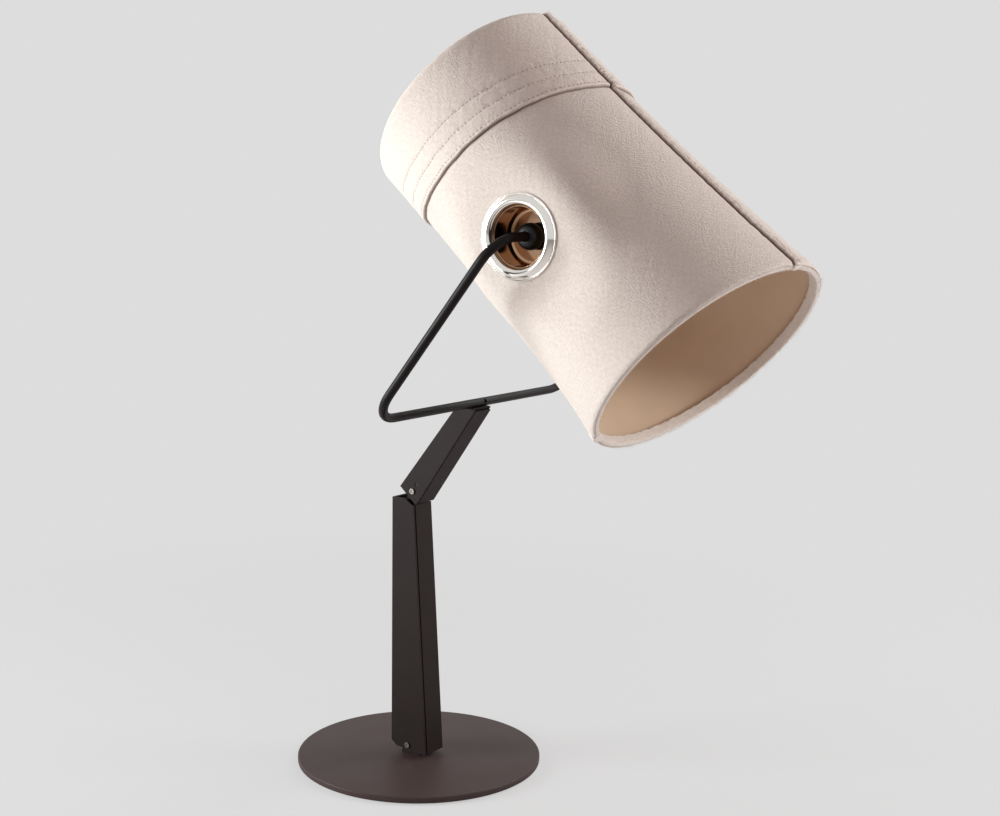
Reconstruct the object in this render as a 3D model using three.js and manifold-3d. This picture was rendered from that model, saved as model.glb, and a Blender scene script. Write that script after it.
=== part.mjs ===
// Table lamp: a canvas shade held in a bent rod fork, on a jointed steel arm and stem over a round base.
// Millimetres, +Z up. The origin is the middle of the base's underside, +X is the way the shade faces,
// and every pivot axis runs along Y.
import * as THREE from 'three';
import { mergeVertices } from 'three/addons/utils/BufferGeometryUtils.js';
import Module from 'manifold-3d';

const wasm = await Module();
wasm.setup();

// Fits shared by all pieces
const GAP = 0.3;              // running gap between neighbours
const OVERRUN = 4;            // how far a cutter runs past the face that it cuts
const ROUND = 24;             // facets round a small turned piece
const RING = 40;              // facets round the shade
const DISC_FACETS = 72;       // facets round the base disc
const CORNER_FACETS = 8;      // facets of a rounded corner in an outline
const HEXAGON = 6;
const WELD = 1e-4;            // corners closer than this are one

// Base
const DISC_RADIUS = 100;
const DISC_THICKNESS = 5;
const DISC_EDGE = 0.8;        // broken edge at the top of the disc
const PAD_RADIUS = 94;
const PAD_THICKNESS = 1;
const BASE_TOP = PAD_THICKNESS + DISC_THICKNESS;

// Folded steel channels of the stem and the arm
const CHANNEL_WIDTH = 24.5;   // over both side walls
const SHEET = 2;              // thickness of the folded sheet
const COVER_SHEET = 1.2;
const COVER_RECESS = 0.2;     // how far a cover lies behind the near wall's front edge
const COVER_GROOVE = 1.6;     // open groove between a cover and the near wall
const TAB_DEPTH = 5;          // clip tabs of a cover
const TAB_LENGTH = 9;
const STEM_TAB_SHARES = [0.2, 0.7]; // where the tabs start, along the cover
const ARM_TAB_SHARES = [0.3, 0.55];
const WALL_OUT = CHANNEL_WIDTH / 2;
const WALL_IN = WALL_OUT - SHEET;

// Pivot bolts, the same at the base and at the elbow
const BOLT_RADIUS = 1.9;
const BOLT_HEAD_RADIUS = 2.4;
const BOLT_HEAD_HEIGHT = 0.9;
const SOCKET_RADIUS = 1.1;
const SOCKET_DEPTH = 0.5;
const NUT_RADIUS = 3.6;
const NUT_HEIGHT = 2.2;
const TONGUE_WIDTH = 16;      // across Y, between the two friction washers
const NOSE_RADIUS = 5.5;      // round end of a tongue about its bolt
const WASHER_RADIUS = 5.2;
const HOLE_RADIUS = BOLT_RADIUS + GAP;

// Stem
const BASE_PIVOT_X = -2.8;
const BASE_PIVOT_HEIGHT = 8;  // above the disc
const BASE_PIVOT_Z = BASE_TOP + BASE_PIVOT_HEIGHT;
const STEM_LENGTH = 213.7;    // base pivot to elbow pivot
const ELBOW_SHIFT = 2.7;      // the elbow pivot lies this far in front of the base pivot
const STEM_FOOT_FRONT = 18.2; // outline of the stem's side walls, from the base pivot
const STEM_FOOT_FRONT_DROP = 5.2;
const STEM_FOOT_BACK = 16.8;
const STEM_FOOT_BACK_RISE = 1.4;
const STEM_CHAMFER_BACK = 11.7;
const STEM_CHAMFER_DROP = 2.6;
const STEM_HEAD_BACK = 20.4;  // outline of the stem's top, from the elbow pivot
const STEM_HEAD_DROP = 6.9;
const STEM_NOTCH_BACK = 7.9;
const STEM_NOTCH_DROP = 7.1;
const STEM_HEAD_FRONT = 0.7;
const STEM_FRONT_DROP = 11.8;

// The tongue that carries the elbow: a block between the stem's walls, with its neck leaning back
const BLOCK_LENGTH = 42;
const NECK_BACK = 9;
const NECK_FRONT = 2.2;
const NECK_DROP = 12;
const NECK_SHOULDER_SHARE = 0.6;

// Arm
const ARM_LENGTH = 93;        // elbow pivot to fork bar
const ARM_LEAN = 35.4;        // degrees from upright
const ARM_FOOT_BACK = 11.8;   // outline of the arm's side walls, from the elbow pivot
const ARM_FOOT_BACK_DROP = 5;
const ARM_FOOT_FRONT = 8.9;
const ARM_FOOT_FRONT_DROP = 6.85;
const ARM_HEAD_BACK = 7.5;
const ARM_HEAD_FRONT = 7.7;
const ARM_HEAD_CORNER = 3.5;  // radius of the walls' front top corner
const LOCK_SCREW_RISE = 6.9;  // small screw above the elbow bolt
const LOCK_SCREW_RADIUS = 1.5;
const LOCK_SCREW_SINK = 0.5;

// Fork, one bent rod
const ROD_RADIUS = 3.4;
const FORK_LENGTH = 172.3;    // bar to shade pivot
const FORK_LEAN = 38.4;       // degrees from upright
const BAR_BEND = 27;          // bend radii on the rod's centre line
const PIVOT_BEND = 21;
const BEND_STEPS = 5;         // rod rings in each quarter bend
const ROD_SIDES = 12;
const HEAD_DROP = 3.7;        // the arm's walls end this far below the bar's middle
const SADDLE_DROP = 3;        // and the front of the saddle under the bar ends here
const SADDLE_RISE = 1.5;      // its lug behind the bar goes this far above the bar's middle
const SADDLE_BACK = 8.4;      // and this far back
const SADDLE_LENGTH = 24;     // down between the arm's walls
const FORK_SCREW_Y = 7;
const FORK_SCREW_RADIUS = 1.5;
const FORK_SCREW_SINK = 1.1;  // its head lies this deep in the rod
const FORK_SCREW_END = 7.4;   // and its end this far beyond the rod's middle
const FORK_SCREW_LEAN = 16;   // degrees above level, towards the front

// Shade, in stations along its axis from the pivot, positive towards its top
const SHADE_LEAN = 49;        // degrees from upright
const TOP_STATION = 145.5;
const RIM_STATION = 128;      // below the pivot
const TOP_HALF_N = 85;        // half widths across the side seams
const WAIST_HALF_N = 85.5;
const RIM_HALF_N = 91.8;
const TOP_HALF_Y = 95.8;      // half widths across the eyelets
const WAIST_HALF_Y = 107.5;
const RIM_HALF_Y = 124;
const CANVAS = 1.5;
const LINER = 1;
const BAND_WAVES = [79.3, -15.1, 2, -2.1]; // its lower edge: what 0 to 3 times the angle's cosines add
const HEM_HEIGHT = 7;
const HEM_DEPTH = 6;          // over both legs of a turned hem
const TURNED = 1.2;           // thickness of the leg that is turned in
const WIRE_RADIUS = 1.1;
const SEAM_GAP = 0.4;
const EYELET_FLAT = 33;       // the cloth lies flat about the eyelet up to here
const EYELET_BLEND = 64;      // and is back in its own curve here
const EYELET_SINK = 3.5;      // how far the eyelet draws the cloth in
const EYELET_SEAT = WAIST_HALF_Y - EYELET_SINK;

// Eyelets, pivot cups and knobs, measured outward along Y
const EYELET_RADIUS = 30.5;
const EYELET_HOLE = 21.8;
const EYELET_HEIGHT = 4;
const EYELET_PROFILE = [[0, 0.6], [0.12, 0.9], [0.5, 1], [0.88, 0.55], [1, 0]]; // shares of width and height
const NECK_WALL = 1.2;
const BACK_RING_RADIUS = 26.4;
const BACK_RING_HEIGHT = 1.2;
const CUP_WALL = 1;
const CUP_SINK = 19.5;        // cup floor below the cloth
const CUP_CORNER = 2.6;
const KNOB_RADIUS = 9.5;
const KNOB_HEIGHT = 12;
const KNOB_PROFILE = [[0.8, 0], [1, 0.25], [1, 0.5], [0.88, 0.8], [0.62, 1]]; // shares of radius and height
const COLLAR_RADIUS = 7;
const COLLAR_HEIGHT = 6;
const LEG_CLEARANCE = 18.8;   // from the front of an eyelet to the fork's leg
const FORK_HALF_WIDTH = EYELET_SEAT + GAP + EYELET_HEIGHT + LEG_CLEARANCE + ROD_RADIUS;

// Lamp carrier, lampholder and bulb, on the shade's axis
const CARRIER_WIDTH = 20;
const CARRIER_SHEET = 2;
const CARRIER_RISE = 36;
const CARRIER_FOOT = 9;
const HOLDER_RADIUS = 17;
const HOLDER_LENGTH = 34;
const HOLDER_SHOULDER = 12;
const HOLDER_SHOULDER_RADIUS = 11.5;
const HOLDER_RING_RADIUS = 20;
const HOLDER_RING_HEIGHT = 7;
const NIPPLE_RADIUS = 5;
const NIPPLE_NUT_RADIUS = 8;
const NIPPLE_NUT_HEIGHT = 4;
const CAP_RADIUS = 13;
const CAP_LENGTH = 24;
const CAP_TAPER = 6;          // at the cap's contact end
const CAP_WALL = 0.4;
const HOLDER_WALL = HOLDER_RADIUS - CAP_RADIUS - GAP;
const BULB_RADIUS = 30;
const BULB_LENGTH = 82;       // glass alone
const BULB_ROWS = 9;          // rows of facets down the round of the bulb
const GLASS_SINK = 2;         // glass into its cap
const BULB_NECK_RADIUS = CAP_RADIUS - CAP_WALL - GAP;

// Fasteners hidden in the stem and the base
const SCREW_RADIUS = 2;
const SCREW_HEAD_RADIUS = 3.8;
const SCREW_HEAD_HEIGHT = 2.2;
const SCREW_LENGTH = 9;
const GLAND_HEIGHT = 34;      // cable gland in the stem's back, above the base pivot
const GLAND_RADIUS = 4.6;
const GLAND_BORE = 3.2;
const GLAND_LIP = 1.4;
const GLAND_FLANGE = 6.6;

const deg = THREE.MathUtils.degToRad;

// Materials
const paint = (color, roughness, metalness) =>
  new THREE.MeshStandardMaterial({ color, roughness, metalness });
const BLACK_STEEL = paint(0x2f2a2a, 0.5, 0.35);
const BLACK_ROD = paint(0x211d1e, 0.45, 0.35);
const DISC_FINISH = paint(0x463a3a, 0.55, 0.3);
const ZINC = paint(0xb9b6b2, 0.35, 0.9);
const CHROME = paint(0xf2efe9, 0.08, 1);
const BRONZE = paint(0x8f7358, 0.15, 1);
const RUBBER = paint(0x1c1a1a, 0.8, 0);
const FELT = paint(0x242222, 0.95, 0);
const CANVAS_CLOTH = paint(0xe8dcd1, 0.95, 0);
const LINER_SHEET = paint(0xd8c6b2, 0.8, 0);
const WHITE_PLASTIC = paint(0xe9e6df, 0.4, 0);
const GLASS = paint(0xf4f1ea, 0.25, 0);

// Joins equal corners, drops triangles of no area and turns the faces outward
function tidy(geometry) {
  const bare = geometry.clone();
  for (const name of Object.keys(bare.attributes)) {
    if (name !== 'position') bare.deleteAttribute(name);
  }
  const merged = mergeVertices(bare, WELD);
  const place = merged.getAttribute('position');
  const index = merged.getIndex();
  const kept = [];
  let volume = 0;
  const [a, b, c] = [new THREE.Vector3(), new THREE.Vector3(), new THREE.Vector3()];
  for (let i = 0; i < index.count; i += 3) {
    const corner = [index.getX(i), index.getX(i + 1), index.getX(i + 2)];
    if (new Set(corner).size < 3) continue;
    a.fromBufferAttribute(place, corner[0]);
    b.fromBufferAttribute(place, corner[1]);
    c.fromBufferAttribute(place, corner[2]);
    volume += a.dot(b.clone().cross(c));
    kept.push(...corner);
  }
  if (volume < 0) {
    for (let i = 0; i < kept.length; i += 3) [kept[i + 1], kept[i + 2]] = [kept[i + 2], kept[i + 1]];
  }
  merged.setIndex(kept);
  return merged;
}

function toSolid(geometry) {
  const clean = tidy(geometry);
  const vertProperties = new Float32Array(clean.getAttribute('position').array);
  const triVerts = new Uint32Array(clean.getIndex().array);
  return new wasm.Manifold(new wasm.Mesh({ numProp: 3, vertProperties, triVerts }));
}

function toGeometry(solid) {
  const mesh = solid.getMesh();
  const geometry = new THREE.BufferGeometry();
  geometry.setAttribute('position', new THREE.BufferAttribute(new Float32Array(mesh.vertProperties), 3));
  geometry.setIndex([...mesh.triVerts]);
  return geometry;
}

const cut = (body, ...cutters) =>
  toGeometry(cutters.reduce((solid, cutter) => solid.subtract(toSolid(cutter)), toSolid(body)));
const join = (body, ...others) =>
  toGeometry(others.reduce((solid, other) => solid.add(toSolid(other)), toSolid(body)));

// A side outline in X and Z, carried along Y between two places
function plate(outline, yLow, yHigh) {
  const shape = outline instanceof THREE.Shape ? outline : new THREE.Shape(outline);
  const geometry = new THREE.ExtrudeGeometry(shape, {
    depth: yHigh - yLow, bevelEnabled: false, curveSegments: CORNER_FACETS,
  });
  return geometry.rotateX(Math.PI / 2).translate(0, yHigh, 0);
}

const at = (x, z) => new THREE.Vector2(x, z);

// A turned piece about Y: its profile is pairs of radius and place along the axis, and closes on itself
function turned(profile, facets = ROUND) {
  const points = profile.map(([radius, place]) => new THREE.Vector2(radius, place));
  points.push(points[0].clone());
  return tidy(new THREE.LatheGeometry(points, facets));
}

const turnedUp = (profile, facets = ROUND) => turned(profile, facets).rotateX(Math.PI / 2);
const rodY = (radius, low, high, facets = ROUND) =>
  turned([[0, low], [radius, low], [radius, high], [0, high]], facets);
const rodZ = (...sizes) => rodY(...sizes).rotateX(Math.PI / 2);
const boreX = (radius, low, high) => rodY(radius, low, high).rotateZ(-Math.PI / 2);
const ringY = (inner, outer, low, high, facets = ROUND) =>
  turned([[inner, low], [outer, low], [outer, high], [inner, high]], facets);
const ringZ = (...sizes) => ringY(...sizes).rotateX(Math.PI / 2);

function piece(name, geometry, material) {
  const mesh = new THREE.Mesh(geometry, material);
  mesh.name = name;
  return mesh;
}

function group(x, z, lean, ...meshes) {
  const made = new THREE.Group();
  made.position.set(x, 0, z);
  made.rotation.y = deg(lean);
  made.add(...meshes);
  return made;
}

// The point on a line from a to b at the height z
function onLine(a, b, z) {
  return at(a.x + ((b.x - a.x) * (z - a.y)) / (b.y - a.y), z);
}

// A cover's front line: a spot at a run from its foot and a depth behind the near wall's front edge
function frontLine(foot, head) {
  const line = head.clone().sub(foot);
  const length = line.length();
  const along = line.divideScalar(length);
  const inward = at(-along.y, along.x);
  const spot = (run, depth) => foot.clone().addScaledVector(along, run).addScaledVector(inward, depth);
  return { length, spot };
}

// A folded channel: side walls in the given outline, joined by the web that the hollow leaves behind it.
// The far wall is cut back behind the cover, which laps over its edge.
function channel(outline, hollow, front, ...cutters) {
  const { length, spot } = frontLine(...front);
  const depth = COVER_RECESS + COVER_SHEET + GAP;
  const lap = [spot(-OVERRUN, -OVERRUN), spot(length + OVERRUN, -OVERRUN),
    spot(length + OVERRUN, depth), spot(-OVERRUN, depth)];
  return cut(plate(outline, -WALL_OUT, WALL_OUT), plate(hollow, -WALL_IN, WALL_IN),
    plate(lap, WALL_IN - OVERRUN, WALL_OUT + OVERRUN), ...cutters);
}

// A cover from a groove beside the near wall to the outside of the far one, with four clip tabs inside
function cover(foot, head, tabShares) {
  const { length, spot } = frontLine(foot, head);
  const [face, back] = [COVER_RECESS, COVER_RECESS + COVER_SHEET];
  const strip = [spot(0, face), spot(length, face), spot(length, back), spot(0, back)];
  const nearEdge = -WALL_IN + COVER_GROOVE;
  const farTab = WALL_IN - GAP;
  let solid = toSolid(plate(strip, nearEdge, WALL_OUT));
  for (const share of tabShares) {
    const from = length * share;
    const to = from + TAB_LENGTH;
    const deep = COVER_RECESS + TAB_DEPTH;
    const tab = [spot(from, face), spot(to, face), spot(to, deep), spot(from, deep)];
    solid = solid.add(toSolid(plate(tab, nearEdge, nearEdge + COVER_SHEET)));
    solid = solid.add(toSolid(plate(tab, farTab - COVER_SHEET, farTab)));
  }
  return toGeometry(solid);
}

// A pivot bolt along Y with a hexagon socket in its near head, and its nut beyond the far wall
function pivotBolt(name) {
  const face = -WALL_OUT - GAP;
  const top = face - BOLT_HEAD_HEIGHT;
  const end = WALL_OUT + GAP + NUT_HEIGHT;
  const body = turned([[0, top], [BOLT_HEAD_RADIUS, top], [BOLT_HEAD_RADIUS, face],
    [BOLT_RADIUS, face], [BOLT_RADIUS, end], [0, end]]);
  return piece(name, cut(body, rodY(SOCKET_RADIUS, top - OVERRUN, top + SOCKET_DEPTH, HEXAGON)), ZINC);
}

// A hexagon nut along Y with a round bore
const hexNut = (bore, radius, low, high) =>
  cut(rodY(radius, low, high, HEXAGON), rodY(bore, low - OVERRUN, high + OVERRUN));

function pivotNut(name) {
  const low = WALL_OUT + GAP;
  return piece(name, hexNut(BOLT_RADIUS + GAP, NUT_RADIUS, low, low + NUT_HEIGHT), ZINC);
}

function frictionWashers(prefix) {
  const inner = TONGUE_WIDTH / 2 + GAP;
  const outer = WALL_IN - GAP;
  return [
    piece(`${prefix}_near`, ringY(HOLE_RADIUS, WASHER_RADIUS, -outer, -inner), RUBBER),
    piece(`${prefix}_far`, ringY(HOLE_RADIUS, WASHER_RADIUS, inner, outer), RUBBER),
  ];
}

const boltHole = () => rodY(HOLE_RADIUS, -WALL_OUT - OVERRUN, WALL_OUT + OVERRUN);

// A tongue in a channel: a round nose about the pivot, on the given outline
function tongue(outline) {
  const half = TONGUE_WIDTH / 2;
  return join(plate(outline, -half, half), rodY(NOSE_RADIUS, -half, half));
}

// Base: pad, disc, and the upright tongue that the stem hinges on, screwed on from below
const bracketReach = NOSE_RADIUS + SCREW_HEAD_RADIUS + GAP;
const screwSpots = { front: NOSE_RADIUS, rear: -NOSE_RADIUS };

function countersunkUp(radius, head, headHeight, low, length) {
  const top = low + length;
  return turnedUp([[0, low], [head, low], [radius, low + headHeight], [radius, top], [0, top]]);
}

function baseScrew(name, x) {
  const low = PAD_THICKNESS + GAP;
  const screw = countersunkUp(SCREW_RADIUS, SCREW_HEAD_RADIUS, SCREW_HEAD_HEIGHT, low, SCREW_LENGTH);
  return piece(name, screw.translate(BASE_PIVOT_X + x, 0, 0), ZINC);
}

function baseScrewCutter(x) {
  const cutter = countersunkUp(SCREW_RADIUS + GAP, SCREW_HEAD_RADIUS + GAP, SCREW_HEAD_HEIGHT,
    PAD_THICKNESS, SCREW_LENGTH + GAP + GAP);
  return cutter.translate(BASE_PIVOT_X + x, 0, 0);
}

function base() {
  const pad = rodZ(PAD_RADIUS, 0, PAD_THICKNESS, DISC_FACETS);
  const disc = turnedUp([[0, PAD_THICKNESS], [DISC_RADIUS, PAD_THICKNESS],
    [DISC_RADIUS, BASE_TOP - DISC_EDGE], [DISC_RADIUS - DISC_EDGE, BASE_TOP], [0, BASE_TOP]], DISC_FACETS);
  const foot = [at(-bracketReach, -BASE_PIVOT_HEIGHT), at(bracketReach, -BASE_PIVOT_HEIGHT),
    at(NOSE_RADIUS, 0), at(-NOSE_RADIUS, 0)];
  const bracket = tongue(foot).translate(BASE_PIVOT_X, 0, BASE_PIVOT_Z);
  const cutters = Object.values(screwSpots).map(baseScrewCutter);
  const bore = boltHole().translate(BASE_PIVOT_X, 0, BASE_PIVOT_Z);
  return [
    piece('base_pad', pad, FELT),
    piece('base_disc', cut(disc, ...cutters), DISC_FINISH),
    piece('base_bracket', cut(bracket, bore, ...cutters), BLACK_STEEL),
    ...Object.entries(screwSpots).map(([name, x]) => baseScrew(`base_bracket_screw_${name}`, x)),
  ];
}

// Stem, in a frame at the base pivot
const elbow = at(ELBOW_SHIFT, STEM_LENGTH);
const stemFront = [at(STEM_FOOT_FRONT, -STEM_FOOT_FRONT_DROP),
  at(elbow.x + STEM_HEAD_FRONT, elbow.y - STEM_FRONT_DROP)];
const stemBack = [at(-STEM_FOOT_BACK, STEM_FOOT_BACK_RISE),
  at(elbow.x - STEM_HEAD_BACK, elbow.y - STEM_HEAD_DROP)];

function stemChannel() {
  const outline = [at(-STEM_CHAMFER_BACK, -STEM_CHAMFER_DROP), stemFront[0], stemFront[1],
    at(elbow.x - STEM_NOTCH_BACK, elbow.y - STEM_NOTCH_DROP), stemBack[1], stemBack[0]];
  const low = -STEM_FOOT_FRONT_DROP - OVERRUN;
  const high = elbow.y + OVERRUN;
  const backLow = onLine(...stemBack, low);
  const backHigh = onLine(...stemBack, high);
  const hollow = [at(backLow.x + SHEET, low), at(STEM_FOOT_FRONT + OVERRUN, low),
    at(STEM_FOOT_FRONT + OVERRUN, high), at(backHigh.x + SHEET, high)];
  const screwHoles = elbowScrewSpots.map(([, z]) => webBore(SCREW_RADIUS + GAP, z, OVERRUN));
  const glandHole = webBore(GLAND_RADIUS + GAP, GLAND_HEIGHT, OVERRUN);
  return channel(outline, hollow, stemFront, boltHole(), glandHole, ...screwHoles);
}

// The outer face of the stem's web at a height, and a bore along X through it
const webFace = (z) => onLine(...stemBack, z).x;
const webBore = (radius, z, reach) =>
  boreX(radius, webFace(z) - OVERRUN, webFace(z) + reach).translate(0, 0, z);

const blockTop = STEM_LENGTH - NECK_DROP;
const blockFoot = blockTop - BLOCK_LENGTH;
const elbowScrewSpots = [['lower', blockFoot + BLOCK_LENGTH / 4], ['upper', blockTop - BLOCK_LENGTH / 4]];

function elbowTongue() {
  const seat = (z) => webFace(z) + SHEET + GAP;
  const front = (z) => onLine(...stemFront, z).x - COVER_RECESS - COVER_SHEET - GAP - GAP;
  const outline = [
    at(seat(blockFoot) - elbow.x, blockFoot - elbow.y), at(front(blockFoot) - elbow.x, blockFoot - elbow.y),
    at(front(blockTop) - elbow.x, blockTop - elbow.y), at(-NECK_FRONT, blockTop - elbow.y),
    at(-NECK_FRONT, 0), at(-NOSE_RADIUS, 0), at(-NECK_BACK, -NECK_DROP * NECK_SHOULDER_SHARE),
    at(-NECK_BACK, blockTop - elbow.y), at(seat(blockTop) - elbow.x, blockTop - elbow.y)];
  const body = tongue(outline).translate(elbow.x, 0, elbow.y);
  const bores = elbowScrewSpots.map(([, z]) => webBore(SCREW_RADIUS + GAP, z, SCREW_LENGTH + GAP));
  return cut(body, boltHole().translate(elbow.x, 0, elbow.y), ...bores);
}

// A pan head screw through the stem's web into the elbow tongue
function elbowScrew([name, z]) {
  const face = webFace(z) - GAP;
  const end = face + SCREW_LENGTH;
  const screw = turned([[0, face - SCREW_HEAD_HEIGHT], [SCREW_HEAD_RADIUS, face - SCREW_HEAD_HEIGHT / 2],
    [SCREW_HEAD_RADIUS, face], [SCREW_RADIUS, face], [SCREW_RADIUS, end], [0, end]]);
  return piece(`elbow_tongue_screw_${name}`, screw.rotateZ(-Math.PI / 2).translate(0, 0, z), BLACK_STEEL);
}

function cableGland() {
  const out = webFace(GLAND_HEIGHT) - GAP;
  const inside = webFace(GLAND_HEIGHT) + SHEET + GLAND_LIP;
  const lip = out - GLAND_LIP;
  const gland = turned([[GLAND_BORE, lip], [GLAND_FLANGE, lip], [GLAND_FLANGE, out],
    [GLAND_RADIUS, out], [GLAND_RADIUS, inside], [GLAND_BORE, inside]]);
  return piece('cable_gland', gland.rotateZ(-Math.PI / 2).translate(0, 0, GLAND_HEIGHT), RUBBER);
}

function stem() {
  return group(BASE_PIVOT_X, BASE_PIVOT_Z, 0,
    piece('stem_channel', stemChannel(), BLACK_STEEL),
    piece('stem_cover', cover(...stemFront, STEM_TAB_SHARES), BLACK_STEEL),
    pivotBolt('base_pivot_bolt'), pivotNut('base_pivot_nut'), ...frictionWashers('base_friction_washer'),
    piece('elbow_tongue', elbowTongue(), BLACK_STEEL), ...elbowScrewSpots.map(elbowScrew), cableGland());
}

// Arm, in a frame at the elbow pivot, leaning forward
const armFrontFoot = at(ARM_FOOT_FRONT, -ARM_FOOT_FRONT_DROP);
const armBackFoot = at(-ARM_FOOT_BACK, -ARM_FOOT_BACK_DROP);

// A spot at an offset on the level line that lies a drop below the bar's middle
const levelSpot = (offset, drop) =>
  at(offset, ARM_LENGTH - drop / Math.cos(deg(ARM_LEAN)) + offset * Math.tan(deg(ARM_LEAN)));

const armFrontHead = levelSpot(ARM_HEAD_FRONT, HEAD_DROP);
const armBackHead = levelSpot(-ARM_HEAD_BACK, HEAD_DROP);
const armFront = [armFrontFoot, armFrontHead];
const armCoverHead = armFrontFoot.clone().sub(armFrontHead).setLength(ARM_HEAD_CORNER).add(armFrontHead);

function armOutline() {
  const along = armBackHead.clone().sub(armFrontHead).setLength(ARM_HEAD_CORNER).add(armFrontHead);
  const shape = new THREE.Shape();
  shape.moveTo(armBackFoot.x, armBackFoot.y);
  shape.lineTo(armFrontFoot.x, armFrontFoot.y);
  shape.lineTo(armCoverHead.x, armCoverHead.y);
  shape.quadraticCurveTo(armFrontHead.x, armFrontHead.y, along.x, along.y);
  shape.lineTo(armBackHead.x, armBackHead.y);
  shape.closePath();
  return shape;
}

function armChannel() {
  const low = -ARM_FOOT_FRONT_DROP - OVERRUN;
  const high = armFrontHead.y + OVERRUN;
  const hollow = [at(onLine(armBackFoot, armBackHead, low).x + SHEET, low), at(ARM_FOOT_FRONT + OVERRUN, low),
    at(ARM_FOOT_FRONT + OVERRUN, high), at(onLine(armBackFoot, armBackHead, high).x + SHEET, high)];
  const lockHole = rodY(LOCK_SCREW_RADIUS + GAP, -WALL_OUT - OVERRUN, -WALL_IN + OVERRUN);
  return channel(armOutline(), hollow, armFront, boltHole(), lockHole.translate(0, 0, LOCK_SCREW_RISE));
}

function lockScrew() {
  const [out, inside] = [-WALL_OUT + LOCK_SCREW_SINK, -TONGUE_WIDTH / 2 - GAP];
  const socket = rodY(SOCKET_RADIUS / 2, out - OVERRUN, out + SOCKET_DEPTH, HEXAGON);
  const screw = cut(rodY(LOCK_SCREW_RADIUS, out, inside), socket);
  return piece('elbow_lock_screw', screw.translate(0, 0, LOCK_SCREW_RISE), BLACK_STEEL);
}

// A bore or screw about the bar's middle, slanted back and down from the front, in a frame that leans
function throughBar(radius, front, end, lean) {
  const slanted = rodZ(radius, -end, front).rotateY(Math.PI / 2 - deg(FORK_SCREW_LEAN + lean));
  return slanted.translate(0, FORK_SCREW_Y, 0);
}

// A spot that lies so far in front of the bar's middle and so far above it
function besideBar(ahead, above) {
  const [sine, cosine] = [Math.sin(deg(ARM_LEAN)), Math.cos(deg(ARM_LEAN))];
  return at(ahead * cosine - above * sine, ARM_LENGTH + ahead * sine + above * cosine);
}

// The saddle that the fork's bar lies in: a block between the arm's walls with a lug behind the bar
function forkSaddle() {
  const half = WALL_IN - GAP;
  const low = ARM_LENGTH - SADDLE_LENGTH;
  const back = (z) => onLine(armBackFoot, armBackHead, z).x + SHEET + GAP;
  const front = (z) => onLine(...armFront, z).x - COVER_RECESS - COVER_SHEET - GAP - GAP;
  const outline = [at(back(low), low), at(front(low), low), levelSpot(front(ARM_LENGTH), SADDLE_DROP),
    besideBar(0, -SADDLE_DROP), besideBar(0, SADDLE_RISE), besideBar(-SADDLE_BACK, SADDLE_RISE),
    levelSpot(back(armBackHead.y), HEAD_DROP)];
  const bore = rodY(ROD_RADIUS + GAP, -WALL_OUT - OVERRUN, WALL_OUT + OVERRUN).translate(0, 0, ARM_LENGTH);
  const screwHole = throughBar(FORK_SCREW_RADIUS + GAP, 0, FORK_SCREW_END + GAP, ARM_LEAN);
  return cut(plate(outline, -half, half), bore, screwHole.translate(0, 0, ARM_LENGTH));
}

function forkScrew() {
  const front = ROD_RADIUS - FORK_SCREW_SINK;
  const socket = throughBar(SOCKET_RADIUS, front + OVERRUN, SOCKET_DEPTH - front, ARM_LEAN);
  const screw = cut(throughBar(FORK_SCREW_RADIUS, front, FORK_SCREW_END, ARM_LEAN), socket);
  return piece('fork_screw', screw.translate(0, 0, ARM_LENGTH), BLACK_STEEL);
}

// The rod's centre line, with its own rings: a list of points and, between them, straight runs
class RodPath extends THREE.Curve {
  constructor(points) {
    super();
    this.points = points;
  }

  getPoint(share, target = new THREE.Vector3()) {
    const place = share * (this.points.length - 1);
    const low = Math.min(Math.floor(place + WELD), this.points.length - 2);
    return target.lerpVectors(this.points[low], this.points[low + 1], place - low);
  }

  getPointAt(share, target) {
    return this.getPoint(share, target);
  }

  getTangentAt(share, target = new THREE.Vector3()) {
    const step = 1 / (this.points.length - 1);
    const ahead = this.getPoint(Math.min(1, share + step / 2));
    const behind = this.getPoint(Math.max(0, share - step / 2));
    return target.subVectors(ahead, behind).normalize();
  }
}

// Rounds the corner at the middle of three points with an arc of the given radius
function bend(before, corner, after, radius) {
  const back = before.clone().sub(corner).normalize();
  const on = after.clone().sub(corner).normalize();
  const half = back.angleTo(on) / 2;
  const reach = radius / Math.tan(half);
  const middle = back.clone().add(on).normalize().multiplyScalar(radius / Math.sin(half)).add(corner);
  const start = corner.clone().addScaledVector(back, reach).sub(middle);
  const end = corner.clone().addScaledVector(on, reach).sub(middle);
  const axis = start.clone().cross(end).normalize();
  const turn = Math.PI - 2 * half;
  return Array.from({ length: BEND_STEPS + 1 }, (_, i) =>
    start.clone().applyAxisAngle(axis, (turn * i) / BEND_STEPS).add(middle));
}

const cupFloor = EYELET_SEAT - CUP_SINK;
const rodEnd = cupFloor - CUP_WALL - GAP - CARRIER_SHEET - GAP - COLLAR_HEIGHT - GAP;

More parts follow.
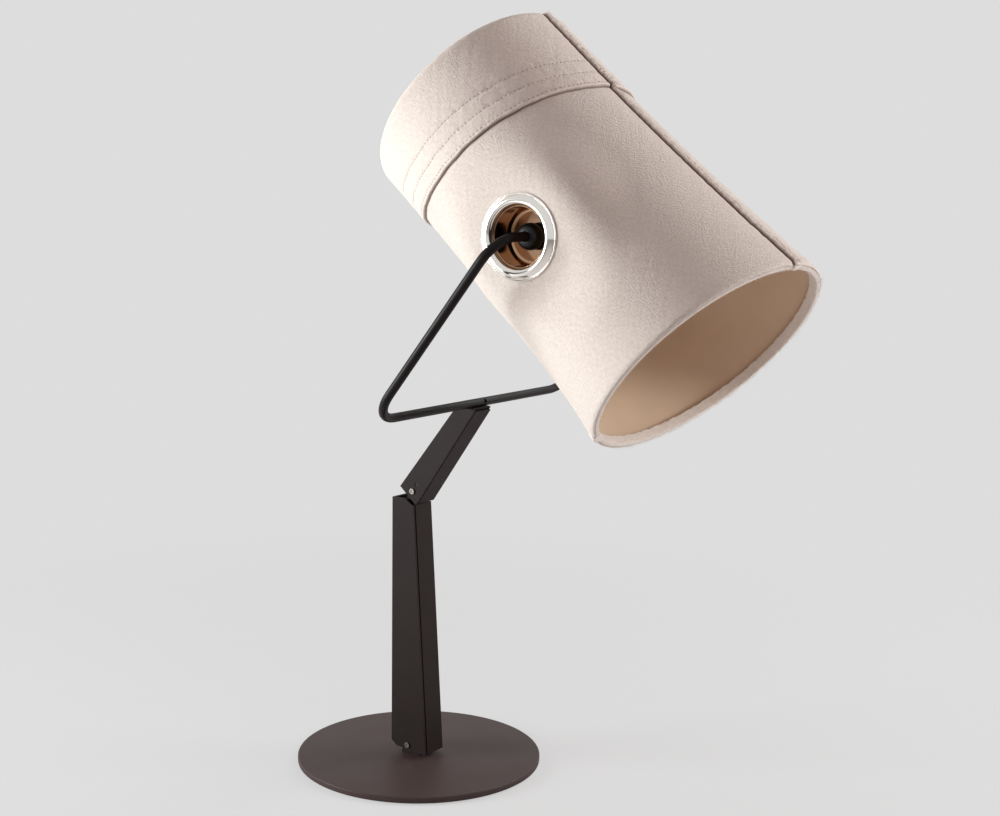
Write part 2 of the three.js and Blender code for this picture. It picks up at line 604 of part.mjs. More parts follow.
function forkRod() {
  const spot = (y, z) => new THREE.Vector3(0, y, z);
  const corners = [spot(-rodEnd, FORK_LENGTH), spot(-FORK_HALF_WIDTH, FORK_LENGTH), spot(-FORK_HALF_WIDTH, 0),
    spot(FORK_HALF_WIDTH, 0), spot(FORK_HALF_WIDTH, FORK_LENGTH), spot(rodEnd, FORK_LENGTH)];
  const radii = [PIVOT_BEND, BAR_BEND, BAR_BEND, PIVOT_BEND];
  const points = [corners[0]];
  radii.forEach((radius, i) => points.push(...bend(corners[i], corners[i + 1], corners[i + 2], radius)));
  points.push(corners[corners.length - 1]);
  const section = new THREE.Shape(Array.from({ length: ROD_SIDES }, (_, i) => {
    const angle = (2 * Math.PI * i) / ROD_SIDES;
    return at(ROD_RADIUS * Math.cos(angle), ROD_RADIUS * Math.sin(angle));
  }));
  const geometry = new THREE.ExtrudeGeometry(section, {
    steps: points.length - 1, bevelEnabled: false, extrudePath: new RodPath(points),
  });
  const reach = ROD_RADIUS + OVERRUN;
  const screwHole = throughBar(FORK_SCREW_RADIUS + GAP, reach, reach, FORK_LEAN);
  return piece('fork_rod', cut(geometry, screwHole), BLACK_ROD);
}

// Round knobs outside each pivot cup, and collars inside that keep the rod in
function knobs() {
  const low = cupFloor + GAP;
  const round = KNOB_PROFILE.map(([wide, high]) => [KNOB_RADIUS * wide, low + KNOB_HEIGHT * high]);
  const profile = [[ROD_RADIUS + GAP, low], ...round, [ROD_RADIUS + GAP, low + KNOB_HEIGHT]];
  return bothSides('pivot_knob', () => turned(profile), RUBBER, FORK_LENGTH);
}

function collars() {
  const high = cupFloor - CUP_WALL - GAP - CARRIER_SHEET - GAP;
  return bothSides('pivot_collar', () => ringY(ROD_RADIUS + GAP, COLLAR_RADIUS, high - COLLAR_HEIGHT, high),
    ZINC, FORK_LENGTH);
}

// A piece on each pivot, drawn on +Y and turned half round for the near one
function bothSides(name, make, material, z = 0) {
  return [
    piece(`${name}_near`, make().rotateX(Math.PI).translate(0, 0, z), material),
    piece(`${name}_far`, make().translate(0, 0, z), material),
  ];
}

function arm() {
  return group(BASE_PIVOT_X + elbow.x, BASE_PIVOT_Z + elbow.y, ARM_LEAN,
    piece('arm_channel', armChannel(), BLACK_STEEL),
    piece('arm_cover', cover(armFrontFoot, armCoverHead, ARM_TAB_SHARES), BLACK_STEEL),
    pivotBolt('elbow_pivot_bolt'), pivotNut('elbow_pivot_nut'), ...frictionWashers('elbow_friction_washer'),
    lockScrew(), piece('fork_saddle', forkSaddle(), BLACK_STEEL), forkScrew());
}

const barX = BASE_PIVOT_X + elbow.x + ARM_LENGTH * Math.sin(deg(ARM_LEAN));
const barZ = BASE_PIVOT_Z + elbow.y + ARM_LENGTH * Math.cos(deg(ARM_LEAN));

function fork() {
  return group(barX, barZ, FORK_LEAN, forkRod(), ...knobs(), ...collars());
}

// Shade, in a frame at its pivot with its axis along Z
// A half width at a station: the parabola through the sizes at the top, the pivot and the rim
function halfWidth(station, top, waist, rim) {
  const [h, r] = [TOP_STATION, RIM_STATION];
  const curve = ((top - waist) * r + (rim - waist) * h) / (h * r * (h + r));
  const slope = (top - waist) / h - curve * h;
  return waist + slope * station + curve * station * station;
}

const smooth = (share) => share * share * (3 - 2 * share);

// The point of the cloth at an angle from the front seam and a station, moved outward by an offset
function clothPoint(angle, station, offset) {
  const n = (halfWidth(station, TOP_HALF_N, WAIST_HALF_N, RIM_HALF_N) + offset) * Math.cos(angle);
  const y = (halfWidth(station, TOP_HALF_Y, WAIST_HALF_Y, RIM_HALF_Y) + offset) * Math.sin(angle);
  const away = (n ** 4 + station ** 4) ** 0.25;
  const flat = smooth(THREE.MathUtils.clamp((EYELET_BLEND - away) / (EYELET_BLEND - EYELET_FLAT), 0, 1));
  return [n, THREE.MathUtils.lerp(y, Math.sign(y) * (EYELET_SEAT + offset), flat), station];
}

// The stations of every sheet's inner rows of facets, so that sheets that lie on each other match
const ROW_STATIONS = [-(RIM_STATION + EYELET_BLEND) / 2, -EYELET_BLEND, -EYELET_FLAT, 0, EYELET_FLAT,
  EYELET_BLEND, (TOP_STATION + EYELET_BLEND) / 2];

// A closed sheet between two offsets, over the given angles and from its low edge to its high one.
// Its low edge may rise with the angle.
function sheet({ angles, whole, low, high, inner, outer }) {
  const start = Math.max(...angles.map(low));
  const inside = ROW_STATIONS.filter((station) => station > start && station < high);
  const rows = inside.length + 1;
  const across = angles.length;
  const columns = whole ? across : across - 1;
  const places = [];
  for (const offset of [outer, inner]) {
    for (let j = 0; j <= rows; j += 1) {
      for (const angle of angles) {
        const station = [low(angle), ...inside, high][j];
        places.push(...clothPoint(angle, station, offset));
      }
    }
  }
  const side = across * (rows + 1);
  const spot = (layer, j, i) => layer * side + j * across + (i % across);
  const faces = [];
  const quad = (a, b, c, d) => faces.push(a, b, c, a, c, d);
  for (let i = 0; i < columns; i += 1) {
    for (let j = 0; j < rows; j += 1) {
      quad(spot(0, j, i), spot(0, j, i + 1), spot(0, j + 1, i + 1), spot(0, j + 1, i));
      quad(spot(1, j, i), spot(1, j + 1, i), spot(1, j + 1, i + 1), spot(1, j, i + 1));
    }
    quad(spot(0, 0, i), spot(1, 0, i), spot(1, 0, i + 1), spot(0, 0, i + 1));
    quad(spot(0, rows, i), spot(0, rows, i + 1), spot(1, rows, i + 1), spot(1, rows, i));
  }
  for (let j = 0; j < rows && !whole; j += 1) {
    quad(spot(0, j, 0), spot(0, j + 1, 0), spot(1, j + 1, 0), spot(1, j, 0));
    quad(spot(0, j, columns), spot(1, j, columns), spot(1, j + 1, columns), spot(0, j + 1, columns));
  }
  const geometry = new THREE.BufferGeometry();
  geometry.setAttribute('position', new THREE.BufferAttribute(new Float32Array(places), 3));
  geometry.setIndex(faces);
  return tidy(geometry);
}

const seamAngle = SEAM_GAP / WAIST_HALF_N;
const clothHole = () =>
  rodY(EYELET_HOLE + NECK_WALL + GAP, -RIM_HALF_Y - OVERRUN, RIM_HALF_Y + OVERRUN, RING);
const allAngles = Array.from({ length: RING }, (_, i) => (2 * Math.PI * i) / RING);

// The angles of one half of the shade, drawn in from its two seams
function halfAngles(from) {
  const angles = Array.from({ length: RING / 2 + 1 }, (_, i) => from + (2 * Math.PI * i) / RING);
  angles[0] += seamAngle;
  angles[angles.length - 1] -= seamAngle;
  return angles;
}

function panels(name, low, inner, outer, finish) {
  const high = TOP_STATION - HEM_HEIGHT - GAP;
  return [['near', -Math.PI], ['far', 0]].map(([side, from]) => {
    const cloth = sheet({ angles: halfAngles(from), low, high, inner, outer });
    return piece(`${name}_${side}`, finish(cloth), CANVAS_CLOTH);
  });
}

const canvas = () =>
  panels('canvas_panel', () => -RIM_STATION + HEM_HEIGHT + GAP, -CANVAS, 0, (body) => cut(body, clothHole()));

const bandEdge = (angle) =>
  BAND_WAVES.reduce((station, wave, times) => station + wave * Math.cos(times * angle), 0);
const band = () => panels('canvas_band', bandEdge, GAP, GAP + CANVAS, (body) => body);

// The liner lies behind the canvas and ends inside each hem, just short of its wire ring
const wireSeat = CANVAS + GAP + WIRE_RADIUS;
const linerEnd = wireSeat + WIRE_RADIUS + GAP;

function liner() {
  const outer = -CANVAS - GAP;
  const body = sheet({ angles: allAngles, whole: true, low: () => -RIM_STATION + linerEnd,
    high: TOP_STATION - linerEnd, inner: outer - LINER, outer });
  return piece('shade_liner', cut(body, clothHole()), LINER_SHEET);
}

// A ring swept round the shade: its section is pairs of offset and station, in order
function swept(section) {
  const count = section.length;
  const places = [];
  for (let i = 0; i < RING; i += 1) {
    for (const [offset, station] of section) places.push(...clothPoint(allAngles[i], station, offset));
  }
  const faces = [];
  for (let i = 0; i < RING; i += 1) {
    for (let j = 0; j < count; j += 1) {
      const [a, b] = [i * count + j, i * count + ((j + 1) % count)];
      const [c, d] = [((i + 1) % RING) * count + ((j + 1) % count), ((i + 1) % RING) * count + j];
      faces.push(a, b, c, a, c, d);
    }
  }
  const geometry = new THREE.BufferGeometry();
  geometry.setAttribute('position', new THREE.BufferAttribute(new Float32Array(places), 3));
  geometry.setIndex(faces);
  return tidy(geometry);
}

// A turned hem: cloth outside, over the edge and back up inside, open towards the shade's middle
function hem(name, edge, up, proud) {
  const fold = edge + up * CANVAS;
  const end = edge + up * HEM_HEIGHT;
  const section = [[proud, end], [proud, edge], [-HEM_DEPTH, edge], [-HEM_DEPTH, end],
    [-HEM_DEPTH + TURNED, end], [-HEM_DEPTH + TURNED, fold], [proud - CANVAS, fold], [proud - CANVAS, end]];
  return piece(name, swept(section), CANVAS_CLOTH);
}

function wireRing(name, edge, up) {
  const middle = edge + up * wireSeat;
  const depth = -(CANVAS + HEM_DEPTH - TURNED) / 2;
  const section = Array.from({ length: HEXAGON }, (_, i) => {
    const angle = (2 * Math.PI * i) / HEXAGON;
    return [depth + WIRE_RADIUS * Math.cos(angle), middle + WIRE_RADIUS * Math.sin(angle)];
  });
  return piece(name, swept(section), ZINC);
}

// Eyelets: a domed front ring with a neck through the cloth, and a flat ring behind the liner
const behindLiner = EYELET_SEAT - CANVAS - GAP - LINER - GAP;

function eyeletFront() {
  const seat = EYELET_SEAT + GAP;
  const width = EYELET_RADIUS - EYELET_HOLE;
  const dome = EYELET_PROFILE.map(([wide, high]) =>
    [EYELET_HOLE + width * wide, seat + EYELET_HEIGHT * high]);
  const neckEnd = behindLiner - BACK_RING_HEIGHT;
  return turned([[EYELET_HOLE, neckEnd], ...dome, [EYELET_HOLE + NECK_WALL, seat],
    [EYELET_HOLE + NECK_WALL, neckEnd]], RING);
}

const eyeletBack = () =>
  ringY(EYELET_HOLE + NECK_WALL + GAP, BACK_RING_RADIUS, behindLiner - BACK_RING_HEIGHT, behindLiner, RING);

function pivotCup() {
  const mouth = EYELET_SEAT;
  const outer = EYELET_HOLE - GAP;
  const inner = outer - CUP_WALL;
  const under = cupFloor - CUP_WALL;
  const bore = ROD_RADIUS + GAP;
  return turned([[bore, under], [outer - CUP_CORNER, under], [outer, under + CUP_CORNER], [outer, mouth],
    [inner, mouth], [inner, cupFloor + CUP_CORNER], [inner - CUP_CORNER, cupFloor], [bore, cupFloor]], RING);
}

// The strip that carries the lampholder, bent to a U between the two pivot cups
const carrierTop = CARRIER_RISE + CARRIER_SHEET;

function lampCarrier() {
  const outer = cupFloor - CUP_WALL - GAP;
  const inner = outer - CARRIER_SHEET;
  const half = CARRIER_WIDTH / 2;
  const legs = [at(-outer, -CARRIER_FOOT), at(-outer, carrierTop), at(outer, carrierTop),
    at(outer, -CARRIER_FOOT), at(inner, -CARRIER_FOOT), at(inner, CARRIER_RISE), at(-inner, CARRIER_RISE),
    at(-inner, -CARRIER_FOOT)];
  const strip = plate(legs, -half, half).rotateZ(Math.PI / 2);
  const bore = rodY(ROD_RADIUS + GAP, -outer - OVERRUN, outer + OVERRUN);
  const nippleHole = rodZ(NIPPLE_RADIUS + GAP, CARRIER_RISE - OVERRUN, carrierTop + OVERRUN);
  return piece('lamp_carrier', cut(strip, bore, nippleHole), ZINC);
}

const holderTop = CARRIER_RISE - GAP;
const holderMouth = holderTop - HOLDER_LENGTH;
const capLow = holderMouth - GLASS_SINK;
const capHigh = capLow + CAP_LENGTH;

function lampholder() {
  const inner = HOLDER_RADIUS - HOLDER_WALL;
  const bore = NIPPLE_RADIUS + GAP;
  const shoulder = holderTop - HOLDER_SHOULDER;
  const under = holderTop - HOLDER_WALL;
  const shell = turnedUp([[bore, holderTop], [HOLDER_SHOULDER_RADIUS, holderTop], [HOLDER_RADIUS, shoulder],
    [HOLDER_RADIUS, holderMouth], [inner, holderMouth], [inner, shoulder],
    [HOLDER_SHOULDER_RADIUS - HOLDER_WALL, under], [bore, under]]);
  const ringHigh = holderMouth + HOLDER_RING_HEIGHT;
  const ring = ringZ(HOLDER_RADIUS + GAP, HOLDER_RING_RADIUS, holderMouth, ringHigh);
  const nutLow = carrierTop + GAP;
  const nutHigh = nutLow + NIPPLE_NUT_HEIGHT;
  const nipple = rodZ(NIPPLE_RADIUS, capHigh + GAP, nutHigh);
  const nut = hexNut(NIPPLE_RADIUS + GAP, NIPPLE_NUT_RADIUS, nutLow, nutHigh).rotateX(Math.PI / 2);
  return [piece('lampholder_shell', shell, WHITE_PLASTIC), piece('lampholder_ring', ring, WHITE_PLASTIC),
    piece('lampholder_nipple', nipple, ZINC), piece('lampholder_nut', nut, ZINC)];
}

function bulb() {
  const tip = CAP_RADIUS - CAP_TAPER;
  const inner = CAP_RADIUS - CAP_WALL;
  const seat = capLow + GLASS_SINK;
  const cap = turnedUp([[0, capHigh], [tip, capHigh], [CAP_RADIUS, capHigh - CAP_TAPER], [CAP_RADIUS, capLow],
    [inner, capLow], [inner, seat + GAP], [0, seat + GAP]]);
  const middle = seat - BULB_LENGTH + BULB_RADIUS;
  const start = Math.asin(BULB_NECK_RADIUS / BULB_RADIUS);
  const arc = Array.from({ length: BULB_ROWS }, (_, i) => {
    const angle = THREE.MathUtils.lerp(start, Math.PI, i / BULB_ROWS);
    return [BULB_RADIUS * Math.sin(angle), middle + BULB_RADIUS * Math.cos(angle)];
  });
  const glass = turnedUp([[0, seat], [BULB_NECK_RADIUS, seat], [BULB_NECK_RADIUS, capLow - GLASS_SINK],
    ...arc, [0, middle - BULB_RADIUS]]);
  return [piece('bulb_cap', cap, ZINC), piece('bulb_glass', glass, GLASS)];
}

function shade() {
  const pivotX = barX + FORK_LENGTH * Math.sin(deg(FORK_LEAN));
  const pivotZ = barZ + FORK_LENGTH * Math.cos(deg(FORK_LEAN));
  return group(pivotX, pivotZ, -SHADE_LEAN,
    ...canvas(), ...band(), liner(),
    hem('bottom_hem', -RIM_STATION, 1, 0), hem('top_hem', TOP_STATION, -1, GAP + CANVAS),
    wireRing('bottom_wire_ring', -RIM_STATION, 1), wireRing('top_wire_ring', TOP_STATION, -1),
    ...bothSides('eyelet_front', eyeletFront, CHROME), ...bothSides('eyelet_back', eyeletBack, CHROME),
    ...bothSides('pivot_cup', pivotCup, BRONZE), lampCarrier(), ...lampholder(), ...bulb());
}

const lamp = new THREE.Group();
lamp.add(...base(), stem(), arm(), fork(), shade());

export default lamp;
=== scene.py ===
"""Looks of a table lamp: a canvas drum shade in a bent rod fork, on a jointed steel arm over a round base.

Sizes are in millimetres and angles in degrees. They become metres and radians where a mesh is made.
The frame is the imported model's: the origin under the middle of the base, +Z up, +X the way the shade
faces, and every pivot along Y. The near side is -Y.
"""

import logging
import math
from collections.abc import Callable, Iterable, Sequence
from dataclasses import dataclass, replace
from enum import Enum

import bmesh
import bpy
import numpy as np
from mathutils import Matrix, Vector


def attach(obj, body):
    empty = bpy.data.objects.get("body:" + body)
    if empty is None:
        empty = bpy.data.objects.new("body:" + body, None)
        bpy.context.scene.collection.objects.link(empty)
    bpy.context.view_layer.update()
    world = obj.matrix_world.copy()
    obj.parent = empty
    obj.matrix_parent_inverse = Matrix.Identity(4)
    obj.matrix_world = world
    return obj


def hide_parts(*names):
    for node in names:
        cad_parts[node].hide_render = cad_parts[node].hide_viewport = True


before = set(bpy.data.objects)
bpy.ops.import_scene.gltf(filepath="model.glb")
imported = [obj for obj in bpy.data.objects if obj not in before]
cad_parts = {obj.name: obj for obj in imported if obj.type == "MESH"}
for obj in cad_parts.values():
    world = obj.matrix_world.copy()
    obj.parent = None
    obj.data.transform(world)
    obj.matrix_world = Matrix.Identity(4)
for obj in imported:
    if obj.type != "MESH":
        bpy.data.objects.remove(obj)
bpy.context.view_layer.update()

log = logging.getLogger("table_lamp")

Array = np.ndarray
Colour = tuple[float, float, float]
Piece = bpy.types.Object
Socket = bpy.types.NodeSocket
Placing = Callable[[Array, Array, Array], Array]

MM = 0.001
# Stitch rows above the band's edge, the length of a stitch, and the half widths of hole, thread and fibre.
STITCH_ROWS = (3.0, 14.0, 26.5)
STITCH_PITCH = 3.9
HOLE_RADIUS = 0.5
THREAD_HALF = 0.3
FIBRE_HALF = 0.09
# Where a curled end of cloth has its rows, in radians of its quarter turn.
CURL_TURNS = np.radians([14, 28, 42, 56, 72, 88])
# Edges that turn more than this are broken, on folded sheet and on small parts, in degrees.
SHEET_TURN = 32.0
SMALL_TURN = 40.0


class Body(Enum):
    """The lamp's rigid bodies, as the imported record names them."""

    BASE = "base"
    STEM = "stem"
    ARM = "arm"
    SHADE = "shade"


class Side(Enum):
    """The camera's side of the lamp, or the one beyond it, as the sign of Y."""

    NEAR = -1
    FAR = 1

    @property
    def label(self) -> str:
        """The side's word in a piece's name."""
        return self.name.lower()

    @property
    def start(self) -> float:
        """The angle of the seam where this side's half of the shade starts."""
        return 0.0 if self is Side.FAR else -math.pi


def linear(red: int, green: int, blue: int) -> Colour:
    """A display colour as the linear one that a shader takes.

    Args:
        red: Display red, 0 to 255.
        green: Display green, 0 to 255.
        blue: Display blue, 0 to 255.

    Returns:
        The three linear values, 0 to 1.
    """
    share = np.array([red, green, blue]) / 255
    value = np.where(share <= 0.04045, share / 12.92, ((share + 0.055) / 1.055) ** 2.4)
    return tuple(float(v) for v in value)


def ripple(place: Array, waves: int, rate: float, seed: int) -> Array:
    """A smooth uneven line: a mean of sines whose rates and phases are drawn from a seeded source.

    Args:
        place: Where the line is read, in any unit.
        waves: How many sines there are.
        rate: The middle rate of the sines, in radians per unit.
        seed: The seed of the draws.

    Returns:
        Values of about -1 to 1, in the shape of place.
    """
    draw = np.random.default_rng(seed)
    rates = rate * draw.uniform(0.45, 1.7, waves)
    phases = draw.uniform(0, 2 * math.pi, waves)
    total = np.zeros_like(np.asarray(place, float))
    for wave_rate, phase in zip(rates, phases):
        total += np.sin(place * wave_rate + phase)
    return total / math.sqrt(waves)


def smoothstep(share: Array) -> Array:
    """The even S-shaped step 3t² - 2t³ of a share t, which is held between 0 and 1."""
    held = np.clip(share, 0, 1)
    return held * held * (3 - 2 * held)


def darker(colour: Colour, share: float) -> Colour:
    """A colour with a share of its light taken away."""
    return tuple(tone * (1 - share) for tone in colour)


def linked(name: str, data: bpy.types.ID) -> Piece:
    """A new object of a mesh, a light or a camera, linked into the scene.

    Args:
        name: The object's name.
        data: What it shows.

    Returns:
        The object.
    """
    made = bpy.data.objects.new(name, data)
    bpy.context.scene.collection.objects.link(made)
    return made


class Nodes:
    """A node tree that is built up node by node."""

    def __init__(self, tree: bpy.types.NodeTree) -> None:
        """Takes over the tree of a material, a world or a group, and empties it."""
        self.tree = tree
        tree.nodes.clear()

    def feed(self, node: bpy.types.Node, values: dict[object, object]) -> None:
        """Sets a node's inputs.

        Args:
            node: The node.
            values: Input name or number to its value, or to the socket that it is linked from.
        """
        for name, value in values.items():
            if isinstance(value, Socket):
                self.tree.links.new(value, node.inputs[name])
            else:
                node.inputs[name].default_value = value

    def add(self, kind: str, inputs: dict[object, object] | None = None, **settings: object) -> bpy.types.Node:
        """Adds a node.

        Args:
            kind: The node's type name.
            inputs: Its inputs' values, as feed takes them.
            settings: Its own settings by name.

        Returns:
            The node.
        """
        node = self.tree.nodes.new(kind)
        for name, value in settings.items():
            setattr(node, name, value)
        self.feed(node, inputs or {})
        return node

    def maths(self, kind: str, first: object, second: object = 0.0) -> Socket:
        """The result of a Math node for two values, each a number or a socket."""
        return self.add("ShaderNodeMath", {0: first, 1: second}, operation=kind).outputs[0]

    def weighted(self, first: Socket, first_weight: float, second: Socket, second_weight: float) -> Socket:
        """The sum of two values, each times its weight."""
        return self.maths("ADD", self.maths("MULTIPLY", first, first_weight),
                          self.maths("MULTIPLY", second, second_weight))

    def noise(self, vector: Socket, scale: object, detail: float = 2.0, rough: float = 0.5) -> Socket:
        """A noise value at a point, with a number of finer layers and their strength."""
        return self.add("ShaderNodeTexNoise", {
            "Vector": vector, "Scale": scale, "Detail": detail, "Roughness": rough}).outputs["Fac"]

    def blend(self, share: object, first: object, second: object) -> Socket:
        """A mix of two colours, each a value or a socket, with the second one's share."""
        first, second = (c if isinstance(c, Socket) else (*c, 1.0) for c in (first, second))
        return self.add("ShaderNodeMix", {0: share, 6: first, 7: second}, data_type="RGBA").outputs[2]

    def spread(self, value: Socket, low: object, high: object, to_low: float = 0.0,
               to_high: float = 1.0) -> Socket:
        """A value moved from the range of low to high to another one, and held within it."""
        return self.add("ShaderNodeMapRange", {
            "Value": value, "From Min": low, "From Max": high, "To Min": to_low,
            "To Max": to_high}).outputs["Result"]

    def bump(self, strength: float, depth: float, height: Socket) -> Socket:
        """The normal of a surface with relief, whose depth is in millimetres."""
        return self.add("ShaderNodeBump", {
            "Strength": strength, "Distance": depth * MM, "Height": height}).outputs["Normal"]


@dataclass(frozen=True)
class Pattern:
    """A shader node group that materials share, built on its first use.

    Each input has its start value, or None where it is a vector. Fill makes the nodes between the group's
    input node and its outputs, and returns the outputs' sockets in their order.
    """

    name: str
    inputs: dict[str, float | None]
    outputs: tuple[str, ...]
    fill: Callable[[Nodes, bpy.types.Node], tuple[Socket, ...]]

    def tree(self) -> bpy.types.NodeTree:
        """The group's tree, built once.

        Returns:
            The tree.
        """
        made = bpy.data.node_groups.get(self.name)
        if made:
            return made
        made = bpy.data.node_groups.new(self.name, "ShaderNodeTree")
        for label, value in self.inputs.items():
            kind = "NodeSocketVector" if value is None else "NodeSocketFloat"
            socket = made.interface.new_socket(name=label, in_out="INPUT", socket_type=kind)
            if value is not None:
                socket.default_value = value
        for label in self.outputs:
            made.interface.new_socket(name=label, in_out="OUTPUT", socket_type="NodeSocketFloat")
        nodes = Nodes(made)
        into, out = nodes.add("NodeGroupInput"), nodes.add("NodeGroupOutput")
        nodes.feed(out, dict(zip(self.outputs, self.fill(nodes, into))))
        return made

    def placed(self, nodes: Nodes, **values: object) -> bpy.types.Node:
        """Places the group in a material, with its inputs by name, each a number or a socket."""
        return nodes.add("ShaderNodeGroup", values, node_tree=self.tree())


def weave(nodes: Nodes, into: bpy.types.Node) -> tuple[Socket, ...]:
    """A plain weave: threads rise and dip over each other in a checker of one thread by one, with slubs.

    The height at a point is the rounded back of the thread on top, |sin| across it, plus a coarse lump
    noise that is drawn out along each thread. The tone is painted shade of that relief: lighter on the
    threads' backs and on raised slubs, darker where they dip.

    Args:
        nodes: The group's nodes.
        into: The group's input node. Vector is a UV point in metres.

    Returns:
        The height, and the tone of painted shade.
    """
    waver_scale, drawn_out = 90.0, 0.3
    back_height, slub_height, back_shade = 0.55, 0.9, 0.35
    spot = into.outputs["Vector"]
    parts = nodes.add("ShaderNodeSeparateXYZ", {"Vector": spot})
    waver = nodes.noise(spot, waver_scale)
    waves, slubs = [], []
    for axis, stretch in (("X", (drawn_out, 1.0, 1.0)), ("Y", (1.0, drawn_out, 1.0))):
        count = nodes.maths("MULTIPLY", parts.outputs[axis], into.outputs["Threads"])
        waves.append(nodes.maths("SINE", nodes.maths("MULTIPLY", nodes.maths("ADD", count, waver), math.pi)))
        drawn = nodes.add("ShaderNodeVectorMath", {0: spot, 1: stretch}, operation="MULTIPLY")
        slubs.append(nodes.noise(drawn.outputs[0], into.outputs["Lumps"], 1.0))
    top = nodes.maths("GREATER_THAN", nodes.maths("MULTIPLY", *waves), 0.0)
    warp, weft = (nodes.maths("ABSOLUTE", wave) for wave in waves)
    over = nodes.add("ShaderNodeMix", {0: top, 2: warp, 3: weft}, data_type="FLOAT").outputs[0]
    slub = nodes.spread(nodes.maths("ADD", *slubs), 0.75, 1.25)
    # The tone is painted shade: lighter on the threads' backs and slubs, darker where they dip.
    return (nodes.weighted(over, back_height, slub, slub_height),
            nodes.weighted(over, back_shade, slub, 1 - back_shade))


def needle_holes(nodes: Nodes, into: bpy.types.Node) -> tuple[Socket, ...]:
    """Needle holes along three stitch rows: round dots that sit between the stitches of each row.

    The distance to the nearest hole of a row is the root of the squares of the way to the row and the way
    to the nearest whole stitch along it.

    Args:
        nodes: The group's nodes.
        into: The group's input node. Vector is a UV point in metres, along the rows and up from the edge.

    Returns:
        The mask of the holes.
    """
    parts = nodes.add("ShaderNodeSeparateXYZ", {"Vector": into.outputs["Vector"]})
    stitch = nodes.maths("DIVIDE", parts.outputs["X"], into.outputs["Pitch"])
    share = nodes.maths("SUBTRACT", nodes.maths("FRACT", stitch), 0.5)
    aside = nodes.maths("MULTIPLY", share, into.outputs["Pitch"])
    level = nodes.maths("MULTIPLY", aside, aside)
    total = 0.0
    for row in range(1, len(STITCH_ROWS) + 1):
        off = nodes.maths("SUBTRACT", parts.outputs["Y"], into.outputs[f"Row {row}"])
        away = nodes.maths("SQRT", nodes.maths("ADD", nodes.maths("MULTIPLY", off, off), level))
        dot = nodes.spread(away, HOLE_RADIUS * 0.5 * MM, HOLE_RADIUS * 1.5 * MM, 1.0, 0.0)
        total = nodes.maths("MAXIMUM", dot, total)
    return (total,)


def creases(nodes: Nodes, into: bpy.types.Node) -> tuple[Socket, ...]:
    """Painted shadow in the creases of sewn cloth: beside the upper seam, and just under the band's folded
    edge.

    Args:
        nodes: The group's nodes.
        into: The group's input node. Vector is a UV point in metres, across the seam and up from the edge.

    Returns:
        The mask of the painted crease shadows.
    """
    drop, core, reach, strength = 0.5 * MM, 0.3 * MM, 1.1 * MM, 0.75
    parts = nodes.add("ShaderNodeSeparateXYZ", {"Vector": into.outputs["Vector"]})
    across = nodes.maths("ABSOLUTE", parts.outputs["X"])
    seam = nodes.spread(across, into.outputs["Core"], into.outputs["Reach"], 1.0, 0.0)
    below = nodes.maths("ABSOLUTE", nodes.maths("ADD", parts.outputs["Y"], drop))
    return (nodes.maths("MAXIMUM", seam, nodes.spread(below, core, reach, strength, 0.0)),)


def grain(nodes: Nodes, into: bpy.types.Node) -> tuple[Socket, ...]:
    """Grain of a coated, moulded or rubbed surface: a mean of two noises on Object coordinates.

    Args:
        nodes: The group's nodes.
        into: The group's input node, with the two noises' scales.

    Returns:
        The height, and slow patches for colour and gloss.
    """
    spot = nodes.add("ShaderNodeTexCoord").outputs["Object"]
    fine = nodes.noise(spot, into.outputs["Fine"], 3.0, 0.6)
    coarse = nodes.noise(spot, into.outputs["Coarse"])
    return nodes.weighted(fine, 0.7, coarse, 0.3), nodes.spread(coarse, 0.3, 0.7)


WEAVE = Pattern("plain weave", {"Vector": None, "Threads": 1100.0, "Lumps": 420.0},
                ("Height", "Tone"), weave)
NEEDLE_HOLES = Pattern(
    "needle holes", {"Vector": None, "Pitch": STITCH_PITCH * MM,
                     **{f"Row {number}": row * MM for number, row in enumerate(STITCH_ROWS, 1)}},
    ("Mask",), needle_holes)
# Painted shadow in the seam's groove and just under the band's folded edge.
PAINTED_CREASE_SHADOWS = Pattern("creases", {"Vector": None, "Core": 0.8 * MM, "Reach": 1.35 * MM}, ("Mask",), creases)
GRAIN = Pattern("surface grain", {"Fine": 1500.0, "Coarse": 40.0}, ("Height", "Patches"), grain)


def start_material(name: str) -> tuple[bpy.types.Material, Nodes, bpy.types.Node]:
    """A new material with a Principled shader.

    Args:
        name: The material's name.

    Returns:
        The material, its nodes and the shader node.
    """
    made = bpy.data.materials.new(name)
    made.use_nodes = True
    nodes = Nodes(made.node_tree)
    shader = nodes.add("ShaderNodeBsdfPrincipled")
    out = nodes.add("ShaderNodeOutputMaterial")
    nodes.tree.links.new(shader.outputs["BSDF"], out.inputs["Surface"])
    return made, nodes, shader


@dataclass(frozen=True)
class Finish:
    """A surface finish that is turned into one shared material."""

    name: str
    colour: Colour

    def material(self) -> bpy.types.Material:
        """The finish's material, built on its first use."""
        return bpy.data.materials.get(self.name) or self.build()

    def build(self) -> bpy.types.Material:
        """Builds the material."""
        raise NotImplementedError


